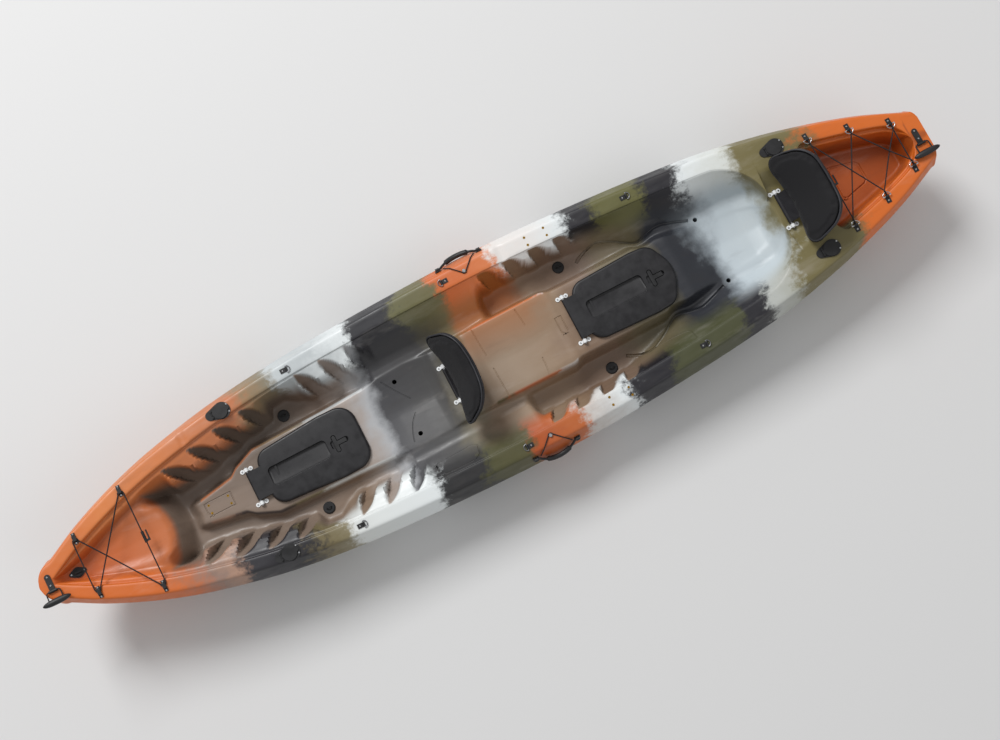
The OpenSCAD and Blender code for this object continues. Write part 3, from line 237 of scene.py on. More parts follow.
# Half width of the middle's crest, run down from it, width of the side wall, ledge's drop, wall's bulge
CREST = [(B0, 3), (B0 + 27, 6), (B0 + 105, 24), (-1560, 50), (-1480, 60), (-1400, 60), (-1325, 30),
         (-1258, 44), (-1100, 72), (-1070, 96), (-985, 132), (-660, 138), (-505, 146), (-470, 150),
         (-320, 157), (-212, 150), (-52, 150), (272, 152), (310, 140), (700, 140), (800, 128),
         (930, 110), (956, 100), (1100, 90), (1165, 70), (1200, 40), (BOWL_END, 40)]
RUN = [(B0, 2), (B0 + 105, 8), (-1560, 25), (-1400, 35), (-1310, 22), (-1258, 18), (-560, 18),
       (-470, 8), (-52, 10), (75, 22), (800, 22), (930, 20), (BOWL_END, 12)]
SIDE = [(B0, 1), (B0 + 27, 6), (B0 + 105, 14), (-1560, 22), (-1400, 26), (-1330, 60), (-1293, 82),
        (-1183, 100), (-1078, 91), (-975, 81), (-866, 78), (-846, 32), (-786, 34), (-740, 70),
        (-690, 96), (-638, 100), (-531, 108), (-377, 112), (-38, 124), (45, 124), (75, 62), (399, 50),
        (470, 58), (565, 74), (640, 100), (712, 136), (815, 106), (930, 132), (956, 132), (1060, 110),
        (1120, 90), (BOWL_END, 20)]
STEP = [(B0, 3), (B0 + 27, 16), (B0 + 105, 20), (-1200, 18), (-900, 12), (-600, 6), (800, 6), (1000, 3),
        (BOWL_END, 1)]
BULGE = [(-1320, 0), (-1290, 1), (-900, 1), (-870, 0), (-720, 0), (-690, 1), (-430, 1), (-400, 0),
         (40, 0), (80, 1), (470, 1), (500, 0)]


# The bow well ends in a lip, round in plan
LIP_R = 183


def lip(x, s):
    return x + LIP_R - math.sqrt(LIP_R * LIP_R - min(s, LIP_R - 13) ** 2) if x < -1250 else x


def floor_edge(x):
    return max(ledge_in(x) - lookup(x, SIDE), 0.55 * ledge_in(x))


def cockpit(x):
    # sheer, half width of the well, of the ledge's inner edge and of the floor, then crest and run
    g, w, we, f = sheer(x), well_w(x), ledge_in(x), floor_edge(x)
    c = min(lookup(x, CREST), 0.8 * f)
    r = min(lookup(x, RUN), 0.3 * f, 0.6 * (f - c))
    zl = g - lookup(x, STEP)
    zf = min(lookup(lip(x, f), FLOOR), g - 1)
    b = lookup(x, BULGE)
    return [(0, min(lookup(x, MIDDLE), g - 1)), (c, min(lookup(lip(x, c), EDGE), g - 1)),
            (c + r, min(lookup(lip(x, c + r), FLOOR), g - 1)), (f, zf),
            (mix(f, we, mix(0.5, 0.32, b)), mix(zf, zl, mix(0.5, 0.82, b))), (we, zl), (w - 2, zl), (w, g)]


def tank(x):
    g, w = sheer(x), well_w(x)
    we = w - min(16, 0.2 * w)
    f = we * 0.86
    e = min(ease(TANK_X0, TANK_X0 + 14, x), 1 - ease(TANK_X1 - 26, TANK_X1, x))
    zt, zw = mix(g, TANK_Z, e), mix(g, g - 24, e)
    return [(0, zt), (f * 0.3, zt), (f * 0.6, zt), (f, zt), (mix(f, we, 0.5), mix(zt, zw, 0.5)), (we, zw),
            (w - 2, zw), (w, g)]


def plain(x):
    out = []
    for q in (0, 0.2, 0.42, 0.6, 0.72, 0.82, 0.92, 1):
        s = gun_in(x) * q
        low = DIP * (1 - ease(95, 165, s)) * (1 - ease(1290, 1356, x)) if BOWL_END <= x <= TANK_X0 else 0
        out.append((s, sheer(x) - low))
    return out


@functools.lru_cache(maxsize=None)
def deck(x):
    return cockpit(x) if in_well(x) else tank(x) if in_tank(x) else plain(x)


# Bottom: share of the half width, and heights amidships and at the ends
LOWER = [(1, 1, 1), (0.9, 0.45, 0.74), (0.72, 0.14, 0.48), (0.56, 0, 0.33), (0.44, 0, 0.25),
         (0.26, 0.1, 0.12), (0.105, 0, 0.03)]


@functools.lru_cache(maxsize=None)
def half_section(x):
    hb, g, e, zk = half_beam(x), sheer(x), ends(x), keel_z(x)
    zb = g - mix(78, 60, e)
    under = [(q * hb, zk + (zb - zk) * mix(a, b, e)) for q, a, b in LOWER]
    return deck(x) + [(gun_out(x), g)] + under


# Foot rests: leaf-shaped hollows in the bulged side walls, each from one place along the boat to another
RESTS = [(-1293 + k * 116, -1183 + k * 104) for k in range(4)]
RESTS += [(-700 + k * 107, -632 + k * 107) for k in range(3)]
RESTS += [(94.5 + k * 107, 162.5 + k * 107) for k in range(4)]
LEAVES = []
for xa, xe in RESTS:
    a, e = Vector((xa, ledge_in(xa) + 1)), Vector((xe, floor_edge(xe) - 4))
    LEAVES.append((a, (e - a).normalized(), (e - a).length))


def leaf_depth(x, y):
    # 1 on the floor of a hollow, 0 on the wall round it
    depth = 0.0
    for a, d, length in LEAVES:
        p = Vector((x, y)) - a
        t = p.dot(d) / length
        if -0.02 < t < 1.12:
            half = 7 + 19 * math.sin(1.57 * clamp(t / 0.5))
            s = p.x * d.y - p.y * d.x
            edge = 7 if s > 0 else 5
            depth = max(depth, (1 - ease(half - edge, half + 3, abs(s))) * (1 - ease(1.0, 1.12, t)))
    return depth


def leaf_cut(x, y, z):
    f, we = floor_edge(x), ledge_in(x)
    if not f - 10 < y < we + 4:
        return z
    low = mix(lookup(x, FLOOR), sheer(x) - lookup(x, STEP), clamp((y - f) / (we - f)) ** 1.15) + 2
    return mix(z, low, leaf_depth(x, y)) if low < z else z


# Notches across the gunwale, and the round of each
NOTCHES = (-1172, 210)
NOTCH_R = 40
# For each point of a half section: its rounding, and how many points lie between it and the next
ROUND = (0, 9, 9, 14, 20, 7, 2, 6, 7, 14, 50, 40, 24, 24, 30, 10)
SHARE = (6, 2, 4, 10, 9, 1, 0, 5, 8, 3, 3, 2, 1, 3, 3)
LAST = len(SHARE)


def smooth_half(x):
    # half section averaged over a few millimetres along the boat, with rounded corners
    w = 4 if abs(x) < HL - 70 else 0
    polys = [half_section(max(-HL, min(HL, x + d * w))) for d in (-1, -0.5, 0, 0.5, 1)]
    pts = []
    for k in range(LAST + 1):
        pts.append(Vector((sum(p[k][0] for p in polys) / 5, sum(p[k][1] for p in polys) / 5)))
    line = [pts[0]]
    start = pts[0]
    for k in range(1, LAST + 1):
        p = into = away = pts[k]
        if k < LAST:
            trim = min(ROUND[k], 0.42 * (p - pts[k - 1]).length, 0.42 * (pts[k + 1] - p).length)
            if trim > 0:
                into = p + (pts[k - 1] - p).normalized() * trim
                away = p + (pts[k + 1] - p).normalized() * trim
        n = SHARE[k - 1]
        line += [start.lerp(into, (i + 1) / (n + 1)) for i in range(n)]
        line += [into, (into + 2 * p + away) / 4, away] if k < LAST else [p]
        start = away
    return [(y, notch_cut(x, y, leaf_cut(x, y, z))) for y, z in line]


def notch_cut(x, y, z):
    for xn in NOTCHES:
        if abs(x - xn) < 30 and y > gun_in(x) - 4 and z > sheer(x) - 40:
            z = min(z, sheer(xn) + 36 - math.sqrt(NOTCH_R * NOTCH_R - (x - xn) ** 2))
    return z


def stations():
    # places of the cross sections: zones along the boat, each with its spacing
    zones = ((-HL, -HL + 60, 5), (-HL + 60, -1420, 13), (-1420, -1310, 7), (-1310, -400, 6.5),
             (-400, 75, 9.5), (75, 520, 6.5), (520, 960, 10.5), (960, 1200, 9), (1200, 1232, 4),
             (1232, 1356, 11), (1356, 1432, 5), (1432, 1740, 15), (1740, 1800, 5), (1800, HL - 24, 10),
             (HL - 24, HL, 4))
    xs = []
    for a, b, step in zones:
        n = max(1, round((b - a) / step))
        xs += [a + (b - a) * i / n for i in range(n)]
    return xs + [HL]


# Small mesh helpers
def soften(mesh, angle):
    mesh.shade_smooth()
    mesh.set_sharp_from_angle(angle=math.radians(angle))


def paint(obj, mat):
    obj.data.materials.clear()
    obj.data.materials.append(mat)


def close_holes(bm):
    bmesh.ops.holes_fill(bm, edges=[e for e in bm.edges if e.is_boundary], sides=0)


def evaluated(obj):
    bpy.context.view_layer.update()
    return bpy.data.meshes.new_from_object(obj.evaluated_get(bpy.context.evaluated_depsgraph_get()))


def new_object(name, bm, body=None, smooth=40):
    bmesh.ops.recalc_face_normals(bm, faces=bm.faces)
    mesh = bpy.data.meshes.new(name)
    bm.to_mesh(mesh)
    bm.free()
    obj = bpy.data.objects.new(name, mesh)
    scene.collection.objects.link(obj)
    soften(mesh, smooth)
    if body:
        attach(obj, body)
    return obj


def sweep(bm, path, radius, sides=10):
    # round bar along a path in millimetres, closed at both ends
    pts = [Vector(p) * MM for p in path]
    up = Vector((0.02, 0.03, 1))
    rings = []
    for k, p in enumerate(pts):
        d = (pts[min(k + 1, len(pts) - 1)] - pts[max(k - 1, 0)]).normalized()
        up = (up - d * up.dot(d)).normalized()
        turn = Matrix((up, d.cross(up), d)).transposed().to_4x4()
        place = Matrix.Translation(p) @ turn
        made = bmesh.ops.create_circle(bm, segments=sides, radius=radius * MM, matrix=place)
        rings.append(made["verts"])
    skin(bm, rings)


def skin(bm, rings):
    # faces between rings of vertices, closed at both ends
    for a, b in zip(rings, rings[1:]):
        for i in range(len(a)):
            j = (i + 1) % len(a)
            bm.faces.new((a[i], a[j], b[j], b[i]))
    bm.faces.new(rings[0][::-1])
    bm.faces.new(rings[-1])


def loft(bm, rings):
    # closed skin over rings of points in millimetres
    skin(bm, [[bm.verts.new(Vector(p) * MM) for p in ring] for ring in rings])


def smooth_path(points, per=6):
    # points on a smooth curve through the given ones, so many to each span
    out = []
    n = len(points)
    for k in range(n - 1):
        p0, p1, p2, p3 = (Vector(points[max(0, min(n - 1, k + i))]) for i in (-1, 0, 1, 2))
        for i in range(per):
            t = i / per
            out.append(0.5 * (2 * p1 + (p2 - p0) * t + (2 * p0 - 5 * p1 + 4 * p2 - p3) * t * t
                              + (3 * p1 - p0 - 3 * p2 + p3) * t ** 3))
    return out + [Vector(points[-1])]


def deck_z(x, y):
    line = deck(x) + [(gun_out(x), sheer(x)), (half_beam(x), sheer(x) - 70)]
    y = abs(y)
    for (ya, za), (yb, zb) in zip(line, line[1:]):
        if ya <= y <= yb and yb > ya:
            return mix(za, zb, (y - ya) / (yb - ya))
    return line[-1][1]


def prism(bm, outline, low, high):
    # upright prism over a closed outline in millimetres
    loop = [bm.verts.new((x * MM, y * MM, low * MM)) for x, y in outline]
    face = bm.faces.new(loop)
    made = bmesh.ops.extrude_face_region(bm, geom=[face])
    top = [v for v in made["geom"] if isinstance(v, bmesh.types.BMVert)]
    bmesh.ops.translate(bm, verts=top, vec=(0, 0, (high - low) * MM))


def round_rect(x0, x1, half, r, n=8):
    out = []
    low, high, side = x0 + r, x1 - r, half - r
    for cx, cy, a0 in ((high, side, 0), (low, side, 90), (low, -side, 180), (high, -side, 270)):
        for i in range(n + 1):
            a = math.radians(a0 + 90 * i / n)
            out.append((cx + r * math.cos(a), cy + r * math.sin(a)))
    return out


def bar(bm, low, high, radius, sides=28):
    # straight round cutter between two points in millimetres
    sweep(bm, [low, high], radius, sides)


# What the moulding is cut by: hatches, rod tubes, scuppers, a drain, inserts and moulded lines
# Hatch openings: both ends, and the deck's height
HATCHES = ((-930, -612, CONSOLE_Z), (430, 752, HATCH_Z))
ROD_HOLDERS = ((-1006, gun_mid(-1006)), (1318, 222))
TUBE_LEAN = math.radians(25)
TUBE_R = 25.4
# Scuppers, then seat drains: place and radius
SCUPPERS = ((-821, 200, 17), (399, 225, 17), (1422, 105, 17), (-377, 112, 9), (956, 136, 9))
# Rise and run of the bow well's fore wall, in which the drain sits
DRAIN_RISE, DRAIN_RUN = 35, 78
# Pads of four brass inserts each, and how far an insert is from its pad's middle
INSERTS = ((-1181, 0), (360, gun_mid(360)), (360, -gun_mid(360)))
INSERT_X, INSERT_Y = 41, 16
# Wavy groove on each side, from the rear footwell to the rear seat
WAVE = ((470, 208), (520, 232), (565, 238), (602, 224), (640, 204), (676, 180), (712, 164), (764, 176),
        (815, 182), (872, 166), (930, 146))
# Other moulded lines of the deck: closed or not, lift, radius, points
LINES = ((True, 0, 5.5, ((1372, -60), (1376, -84), (1398, -96), (1484, -78), (1484, 78), (1398, 96),
                         (1376, 84), (1372, 60))),
         (True, 0, 5.5, ((1500, -72), (1606, -46), (1618, -34), (1618, 34), (1606, 46), (1500, 72))),
         (False, 0.5, 3, ((-425, 136), (-398, 92), (-372, 55), (-350, 26))),
         (False, 0.5, 3, ((-358, -30), (-385, -62), (-402, -98), (-412, -132))),
         (True, 0.5, 2.6, ((-384, -262), (-372, -250), (-228, -246), (-205, -256), (-210, -290),
                           (-232, -304), (-358, -302))),
         (False, 0.5, 2.6, ((540, -240), (600, -236), (690, -240), (716, -252), (720, -284))),
         (True, 0, 3, ((-1236, -27), (-1126, -27), (-1126, 27), (-1236, 27))),
         (False, 0.8, 3.2, ((-23, 148), (-21, 90), (-17, 30))),
         (False, 0.8, 3.2, ((-15, -24), (-13, -84), (-11, -143))),
         (False, 0.8, 3.2, ((160, 138), (165, 103), (169, 68))),
         (False, 0.8, 3.2, ((170, -74), (168, -108), (164, -143))),
         (True, 0, 2.6, ((281, -36), (306, -36), (306, 36), (281, 36))))


def gun_tilt(x):
    return -math.atan((sheer(x + 10) - sheer(x - 10)) / 20)


def deck_line(points, lift):
    # smooth line on the deck
    return [(p.x, p.y, deck_z(p.x, p.y) + lift) for p in smooth_path([(x, y, 0) for x, y in points])]


def closed_line(points, lift):
    # straight-sided line on the deck that runs a little past its start
    out = []
    for (xa, ya), (xb, yb) in zip(points, points[1:] + points[:1]):
        n = max(2, int(math.hypot(xb - xa, yb - ya) / 14))
        out += [(mix(xa, xb, i / n), mix(ya, yb, i / n)) for i in range(n)]
    return [(x, y, deck_z(x, y) + lift) for x, y in out + out[1:2]]


def make_cutters():
    bm = bmesh.new()
    for x0, x1, z in HATCHES:
        prism(bm, round_rect(x0, x1, 90, 40), 34, z + 30)
    for m in SIDES:
        for x, y in ROD_HOLDERS:
            lean = TUBE_LEAN + gun_tilt(x)
            d = Vector((math.sin(lean), 0, math.cos(lean)))
            base = Vector((x, m * y, sheer(x)))
            bar(bm, base - d * 155, base + d * 60, TUBE_R)
        for x, y, r in SCUPPERS:
            bar(bm, (x, m * y, -5), (x, m * y, 320), r)
    tilt = math.atan(DRAIN_RISE / DRAIN_RUN)
    foot = Vector((B0 + 66, 0, BW + 42 - 39 * DRAIN_RISE / DRAIN_RUN))
    d = Vector((math.sin(tilt), 0, math.cos(tilt)))
    bar(bm, foot - d * 30, foot + d * 30, 13)
    for x, y in INSERTS:
        z = CONSOLE_Z if y == 0 else sheer(x)
        for i in SIDES:
            for j in SIDES:
                u, v = x + INSERT_X * i, y + INSERT_Y * j
                bar(bm, (u, v, z - 15), (u, v, z + 20), 5, 16)
    return new_object("cutters", bm)


def make_grooves():
    bm = bmesh.new()
    for m in SIDES:
        sweep(bm, deck_line([(x, m * y) for x, y in WAVE], -1), 7.5, 8)
    for closed, lift, radius, points in LINES:
        sweep(bm, closed_line(points, lift) if closed else deck_line(points, lift), radius, 8)
    return new_object("grooves", bm)


def cut(obj, tool, action="DIFFERENCE"):
    mod = obj.modifiers.new("cut", "BOOLEAN")
    mod.operation = action
    mod.solver = "MANIFOLD"
    mod.object = tool
    mesh = evaluated(obj)
    obj.modifiers.clear()
    old, used = obj.data, tool.data
    obj.data = mesh
    bpy.data.objects.remove(tool)
    bpy.data.meshes.remove(old)
    bpy.data.meshes.remove(used)


def zone_at(x, y, z):
    # 1 on the gunwale and outside, falling to 0 down the inner wall
    line = half_section(x)
    under = lookup(y, [(0, line[LAST][1])] + line[:8:-1])
    # the lowest deck close by, since the lip is steep
    over = min(deck_z(x + d, y) for d in (-12, 0, 12))
    if y > gun_in(x) - 3 or z < (over + under) / 2 or BOWL_END < x < TANK_X0:
        return 1.0
    low, high = (line[3][1], line[5][1]) if in_well(x) or in_tank(x) else (z - 1, z)
    up = clamp((z - low) / max(high - low, 1)) * ease(floor_edge(x) - 30, floor_edge(x) + 10, y)
    wall = ease(0.25, 0.9, up) * (1 - ease(0.15, 0.85, leaf_depth(x, y)))
    if -1240 < x <= -500 or -60 <= x < 285:
        # a tinted line on the edge of the console, tray and hatch decks
        return max(wall, 0.75 * (1 - ease(3, 9, abs(y - lookup(x, CREST)))))
    return wall


def make_hull():
    xs = stations()
    halves = [smooth_half(x) for x in xs]
    n = len(halves[0])
    bm = bmesh.new()
    bmesh.ops.create_grid(bm, x_segments=len(xs) - 1, y_segments=2 * n - 1, size=1)
    for v in bm.verts:
        i = round((v.co.x + 1) / 2 * (len(xs) - 1))
        j = round((v.co.y + 1) / 2 * (2 * n - 1))
        j = 0 if j == 2 * n - 1 else j
        y, z = halves[i][j] if j < n else halves[i][2 * n - 1 - j]
        v.co = Vector((xs[i], y if j < n else -y, z)) * MM
    bmesh.ops.remove_doubles(bm, verts=bm.verts, dist=2e-6)
    close_holes(bm)
    hull = new_object("hull_moulding", bm, smooth=50)
    cut(hull, make_cutters())
    cut(hull, make_grooves())
    mesh = hull.data
    zone = mesh.attributes.new("zone", "FLOAT", "POINT")
    values = []
    for v in mesh.vertices:
        x, y, z = v.co / MM
        values.append(zone_at(x, abs(y), z))
    zone.data.foreach_set("value", values)
    soften(mesh, 50)
    paint(hull, CAMO)
    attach(hull, "hull")
    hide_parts("hull")


# Materials
def colour(code):
    parts = [int(code[i:i + 2], 16) / 255 for i in (1, 3, 5)]
    return [c / 12.92 if c <= 0.04045 else ((c + 0.055) / 1.055) ** 2.4 for c in parts] + [1.0]


def add(tree, kind, ins=None, **settings):
    n = tree.nodes.new(kind)
    for key, value in settings.items():
        setattr(n, key, value)
    for key, value in (ins or {}).items():
        if isinstance(value, bpy.types.NodeSocket):
            tree.links.new(value, n.inputs[key])
        else:
            n.inputs[key].default_value = value
    return n


def finish(name, base, **sockets):
    mat = bpy.data.materials.new(name)
    mat.use_nodes = True
    mat.diffuse_color = colour(base)
    shader = mat.node_tree.nodes["Principled BSDF"]
    shader.inputs["Base Color"].default_value = colour(base)
    for key, value in sockets.items():
        shader.inputs[key.replace("_", " ")].default_value = value
    return mat, mat.node_tree, shader


def blend(tree, fac, a, b):
    return add(tree, "ShaderNodeMix", {0: fac, 6: a, 7: b}, data_type="RGBA").outputs[2]


def calc(tree, operation, a, b, c=0.0):
    return add(tree, "ShaderNodeMath", {0: a, 1: b, 2: c}, operation=operation).outputs[0]


def span(tree, value, low, high, start=0.0, end=1.0):
    return add(tree, "ShaderNodeMapRange", {0: value, 1: low, 2: high, 3: start, 4: end}).outputs[0]


def noise(tree, place, scale, detail, rough=0.5):
    ins = {"Vector": place, "Scale": scale, "Detail": detail, "Roughness": rough}
    return add(tree, "ShaderNodeTexNoise", ins).outputs[0]


def stretch(tree, place, scale):
    return add(tree, "ShaderNodeMapping", {0: place, "Scale": scale}).outputs[0]


def own_place(tree):
    return add(tree, "ShaderNodeTexCoord").outputs["Object"]


def relief(tree, shader, height, strength, distance, **more):
    ins = {"Height": height, "Strength": strength, "Distance": distance, **more}
    tree.links.new(add(tree, "ShaderNodeBump", ins).outputs[0], shader.inputs["Normal"])


def ramp(tree, fac, stops):
    # colours at places along the boat, in millimetres from amidships
    n = add(tree, "ShaderNodeValToRGB", {0: fac})
    places = n.color_ramp.elements
    while len(places) > 1:
        places.remove(places[0])
    for k, (x, code) in enumerate(stops):
        at = (x + HL) / (2 * HL)
        e = places.new(at) if k else places[0]
        e.position = at
        e.color = colour(code)
    return n.outputs[0]


ORANGE, RUST, OLIVE, KHAKI, COAL, CHALK = "#ce661f", "#a5501a", "#5c5a30", "#6f6640", "#1d1c22", "#d9dedf"
STARBOARD = [(-1850, "#c8662a"), (-1550, "#d07a40"), (-1150, "#c27446"), (-985, "#b87048"),
             (-900, "#8f7454"), (-800, "#7d7460"), (-745, "#bcc2c4"), (-640, "#b4babc"), (-505, CHALK),
             (-462, "#26262b"), (-262, "#2a2a2e"), (-222, "#615f3e"), (-62, "#66603e"),
             (-22, "#c4622a"), (190, "#cc7442"), (232, "#dcd6d2"), (440, CHALK), (478, COAL),
             (572, COAL), (610, OLIVE), (780, OLIVE), (820, COAL), (935, COAL), (972, CHALK),
             (1120, "#cfd2cd"), (1190, KHAKI), (1385, KHAKI), (1450, ORANGE), (1850, ORANGE)]
PORT = [(-1850, ORANGE), (-1440, "#c8662a"), (-1372, "#b06a48"), (-1290, "#8d7468"), (-1215, "#a5826e"),
        (-1160, "#2c2b30"), (-955, COAL), (-905, "#6f6446"), (-820, "#7d7458"), (-775, "#d5d8d6"),
        (-395, CHALK), (-350, "#222224"), (-215, "#1f1f21"), (-175, "#474627"), (-45, "#504c2a"),
        (0, "#a84c1a"), (195, "#b4612f"), (235, "#c2bab4"), (415, CHALK), (450, COAL), (565, COAL),
        (602, "#43452a"), (880, "#43452a"), (915, COAL), (1010, COAL), (1045, "#b3b6b2"),
        (1160, "#a9aba2"), (1212, KHAKI), (1435, KHAKI), (1490, ORANGE), (1850, ORANGE)]
# Colours inside the wells: the camo's colours with painted light on the port side, whose stops are painted
# lighter
INSIDE_PORT_CAMO_PAINTED_LIGHT = [(-1850, "#bf5a22"), (-1520, "#bd6534"), (-1360, "#bd6c3e"), (-1344, "#857467"),
               (-900, "#7d6d61"), (-680, "#84705f"), (-570, "#a0938a"), (-500, "#a9abae"),
               (-450, "#4a4a4d"), (-250, "#504f4e"), (-180, "#6e6858"), (-110, "#8a7663"),
               (60, "#94806c"), (240, "#8f7862"), (330, "#7b6452"), (470, "#7d6858"), (560, "#6e634c"),
               (700, "#57513d"), (780, "#2b2d33"), (895, "#2d2f35"), (935, "#858d93"), (975, "#bac4ca"),
               (1180, "#bfc8cc"), (1225, "#77704f"), (1335, "#6a6140"), (1385, "#9a4616"),
               (1560, "#a84e18"), (1850, RUST)]
# and painted shade on the starboard side, whose stops are painted darker, as if that side lay in shadow
INSIDE_STARBOARD_CAMO_PAINTED_SHADE = [(-1850, "#a8552a"), (-1520, "#965634"), (-1360, "#935433"), (-1344, "#5e5047"),
                    (-900, "#5e5248"), (-680, "#6e5b4e"), (-570, "#968a82"), (-500, "#a0a2a5"),
                    (-450, "#323235"), (-250, "#343334"), (-180, "#524d3a"), (-110, "#6a6040"),
                    (-40, "#a0602f"), (180, "#a2622f"), (250, "#8f7862"), (330, "#7b6452"),
                    (470, "#8a7668"), (560, "#7d705a"), (700, "#625a44"), (780, "#2b2d33"),
                    (945, "#26282e"), (985, "#858d93"), (1020, "#aab4ba"), (1180, "#aeb8bc"),
                    (1225, "#77704f"), (1335, "#6a6140"), (1385, "#7a3210"), (1560, "#86390c"),
                    (1850, "#98470f")]
LENGTH_M = 2 * HL * MM
# Half the curvature of the bow well's lip, in 1/m
LIP_BEND = 2.73


def camo_polyethylene():
    # rotomoulded polyethylene from mixed powders: feathered patches, a waxy sheen, fine orange peel
    mat, t, shader = finish("camo_polyethylene", ORANGE, Roughness=0.4, IOR=1.5)
    place = own_place(t)
    x, y, _ = add(t, "ShaderNodeSeparateXYZ", {0: place}).outputs
    # patches about 250 mm across push the bands about; feathering is about 25 mm
    broad = calc(t, "SUBTRACT", noise(t, place, 4.0, 3.0, 0.55), 0.5)
    fine = calc(t, "SUBTRACT", noise(t, place, 38.0, 6.0, 0.68), 0.5)
    along = calc(t, "MULTIPLY_ADD", x, 1 / LENGTH_M, calc(t, "MULTIPLY_ADD", broad, 0.075, 0.5))
    sharp = calc(t, "MULTIPLY_ADD", fine, 0.042, along)
    soft = calc(t, "MULTIPLY_ADD", fine, 0.012, along)
    gunwale = blend(t, span(t, y, -0.05, 0.05), ramp(t, sharp, PORT), ramp(t, sharp, STARBOARD))
    # the bow well's colour ends on the arc of its lip
    fore = span(t, x, -1.25, -1.2, 1.0, 0.0)
    arc = calc(t, "MULTIPLY_ADD", calc(t, "MULTIPLY", y, y), LIP_BEND, x)
    arc = calc(t, "MULTIPLY_ADD", arc, 1 / LENGTH_M, 0.5)
    soft = add(t, "ShaderNodeMix", {0: fore, 2: soft, 3: arc}).outputs[0]
    # inside the wells: camo colours, with painted light on the port side and painted shade on the starboard
    # side
    well = blend(t, span(t, y, 0.0, 0.22), ramp(t, soft, INSIDE_PORT_CAMO_PAINTED_LIGHT), ramp(t, soft, INSIDE_STARBOARD_CAMO_PAINTED_SHADE))
    zone = add(t, "ShaderNodeAttribute", attribute_name="zone")
    tint = blend(t, zone.outputs["Fac"], well, gunwale)
    # pale and dark smoke drawn out along the boat
    drawn = stretch(t, place, (3.0, 11.0, 9.0))
    smoke = noise(t, drawn, 1.0, 8.0, 0.62)
    tint = blend(t, span(t, smoke, 0.56, 0.8, 0.0, 0.16), tint, colour("#d5cfc8"))
    tint = blend(t, span(t, smoke, 0.44, 0.2, 0.0, 0.3), tint, colour("#3a332d"))
    t.links.new(tint, shader.inputs["Base Color"])
    gloss = span(t, noise(t, drawn, 6.0, 5.0), 0.3, 0.7, 0.33, 0.52)
    t.links.new(gloss, shader.inputs["Roughness"])
    # orange peel about 2 mm, coarser than the real 0.8 mm so that it shows
    relief(t, shader, noise(t, place, 520.0, 2.0), 0.12, 0.0006)
    return mat


def grained_plastic(name, code, rough=0.5, grain=1400.0, edge=0.0012):
    # injection-moulded plastic with a spark-eroded grain and broken edges
    mat, t, shader = finish(name, code, Roughness=rough, IOR=1.49)
    place = own_place(t)
    cloud = noise(t, place, 30.0, 4.0)
    tone = blend(t, span(t, cloud, 0.35, 0.75, 0.0, 0.03), colour(code), colour("#8a8a90"))
    t.links.new(tone, shader.inputs["Base Color"])
    t.links.new(span(t, cloud, 0.3, 0.7, rough - 0.08, rough + 0.1), shader.inputs["Roughness"])
    edges = add(t, "ShaderNodeBevel", {"Radius": edge}, samples=4)
    relief(t, shader, noise(t, place, grain, 2.0), 0.25, 0.0004, Normal=edges.outputs[0])
    return mat


def metal(name, code, rough):
    # drawn or turned metal with fine tool lines
    mat, t, shader = finish(name, code, Metallic=1.0, Roughness=rough)
    marks = noise(t, stretch(t, own_place(t), (0.15, 1.0, 1.0)), 900.0, 3.0)
    t.links.new(span(t, marks, 0.3, 0.7, rough - 0.06, rough + 0.1), shader.inputs["Roughness"])
    relief(t, shader, marks, 0.1, 0.0002)
    return mat


def woven_cover():
    # nylon cover cloth over foam: plain weave, 1.6 mm a thread so that it shows
    mat, t, shader = finish("woven_cover", "#1c1b20", Roughness=0.82, IOR=1.45, Sheen_Weight=0.04)
    place = own_place(t)
    warp = add(t, "ShaderNodeTexWave", {"Vector": place, "Scale": 620.0}, bands_direction="Y")
    weft = add(t, "ShaderNodeTexWave", {"Vector": place, "Scale": 620.0}, bands_direction="Z")
    both = calc(t, "MAXIMUM", warp.outputs[1], weft.outputs[1])
    t.links.new(blend(t, both, colour("#08080a"), colour("#121115")), shader.inputs["Base Color"])
    relief(t, shader, both, 0.35, 0.0006)
    return mat


def braided_cord():
    # braided polyester over rubber strands: plaits about 2 mm long
    mat, t, shader = finish("braided_cord", "#1a1718", Roughness=0.7, IOR=1.45)
    plait = add(t, "ShaderNodeTexVoronoi", {"Vector": own_place(t), "Scale": 520.0}).outputs["Distance"]
    t.links.new(blend(t, plait, colour("#2b2426"), colour("#100e0f")), shader.inputs["Base Color"])
    relief(t, shader, plait, 0.5, 0.0005)
    return mat


CAMO = camo_polyethylene()
LID = grained_plastic("lid_polyethylene", "#0f0e12", 0.46, 1100.0)
NYLON = grained_plastic("black_nylon", "#121214", 0.45)
SHELL = grained_plastic("backrest_shell_plastic", "#121116", 0.48)
STRAP = grained_plastic("white_acetal", "#e9ebec", 0.32, 2000.0, 0.0008)
RUBBER = grained_plastic("moulded_rubber", "#151517", 0.66, 1600.0)
STEEL = metal("stainless_wire", "#c9cacc", 0.24)
COATED = metal("dull_wire", "#8a8a8e", 0.36)
BRASS = metal("turned_brass", "#c9a24a", 0.3)
CLOTH = woven_cover()
CORD = braided_cord()
BINDING = grained_plastic("vinyl_binding", "#26262b", 0.5, 900.0)

FINISHES = {"black_plastic": NYLON, "white_plastic": STRAP, "black_rubber": RUBBER, "steel": STEEL,
            "dark_steel": COATED, "brass": BRASS, "moulded_polyethylene": CAMO, "foam_cover": CLOTH,
            "cord": CORD}
SLOT_OF = {s["node"]: s["material_slot"] for s in frame["record"]["subparts"]}
for name, obj in NODES.items():
    mat = FINISHES[SLOT_OF[name]]
    if name.endswith("_hatch_lid"):
        mat = LID
    if name.endswith("_backrest_shell"):
        mat = SHELL
    paint(obj, mat)

make_hull()


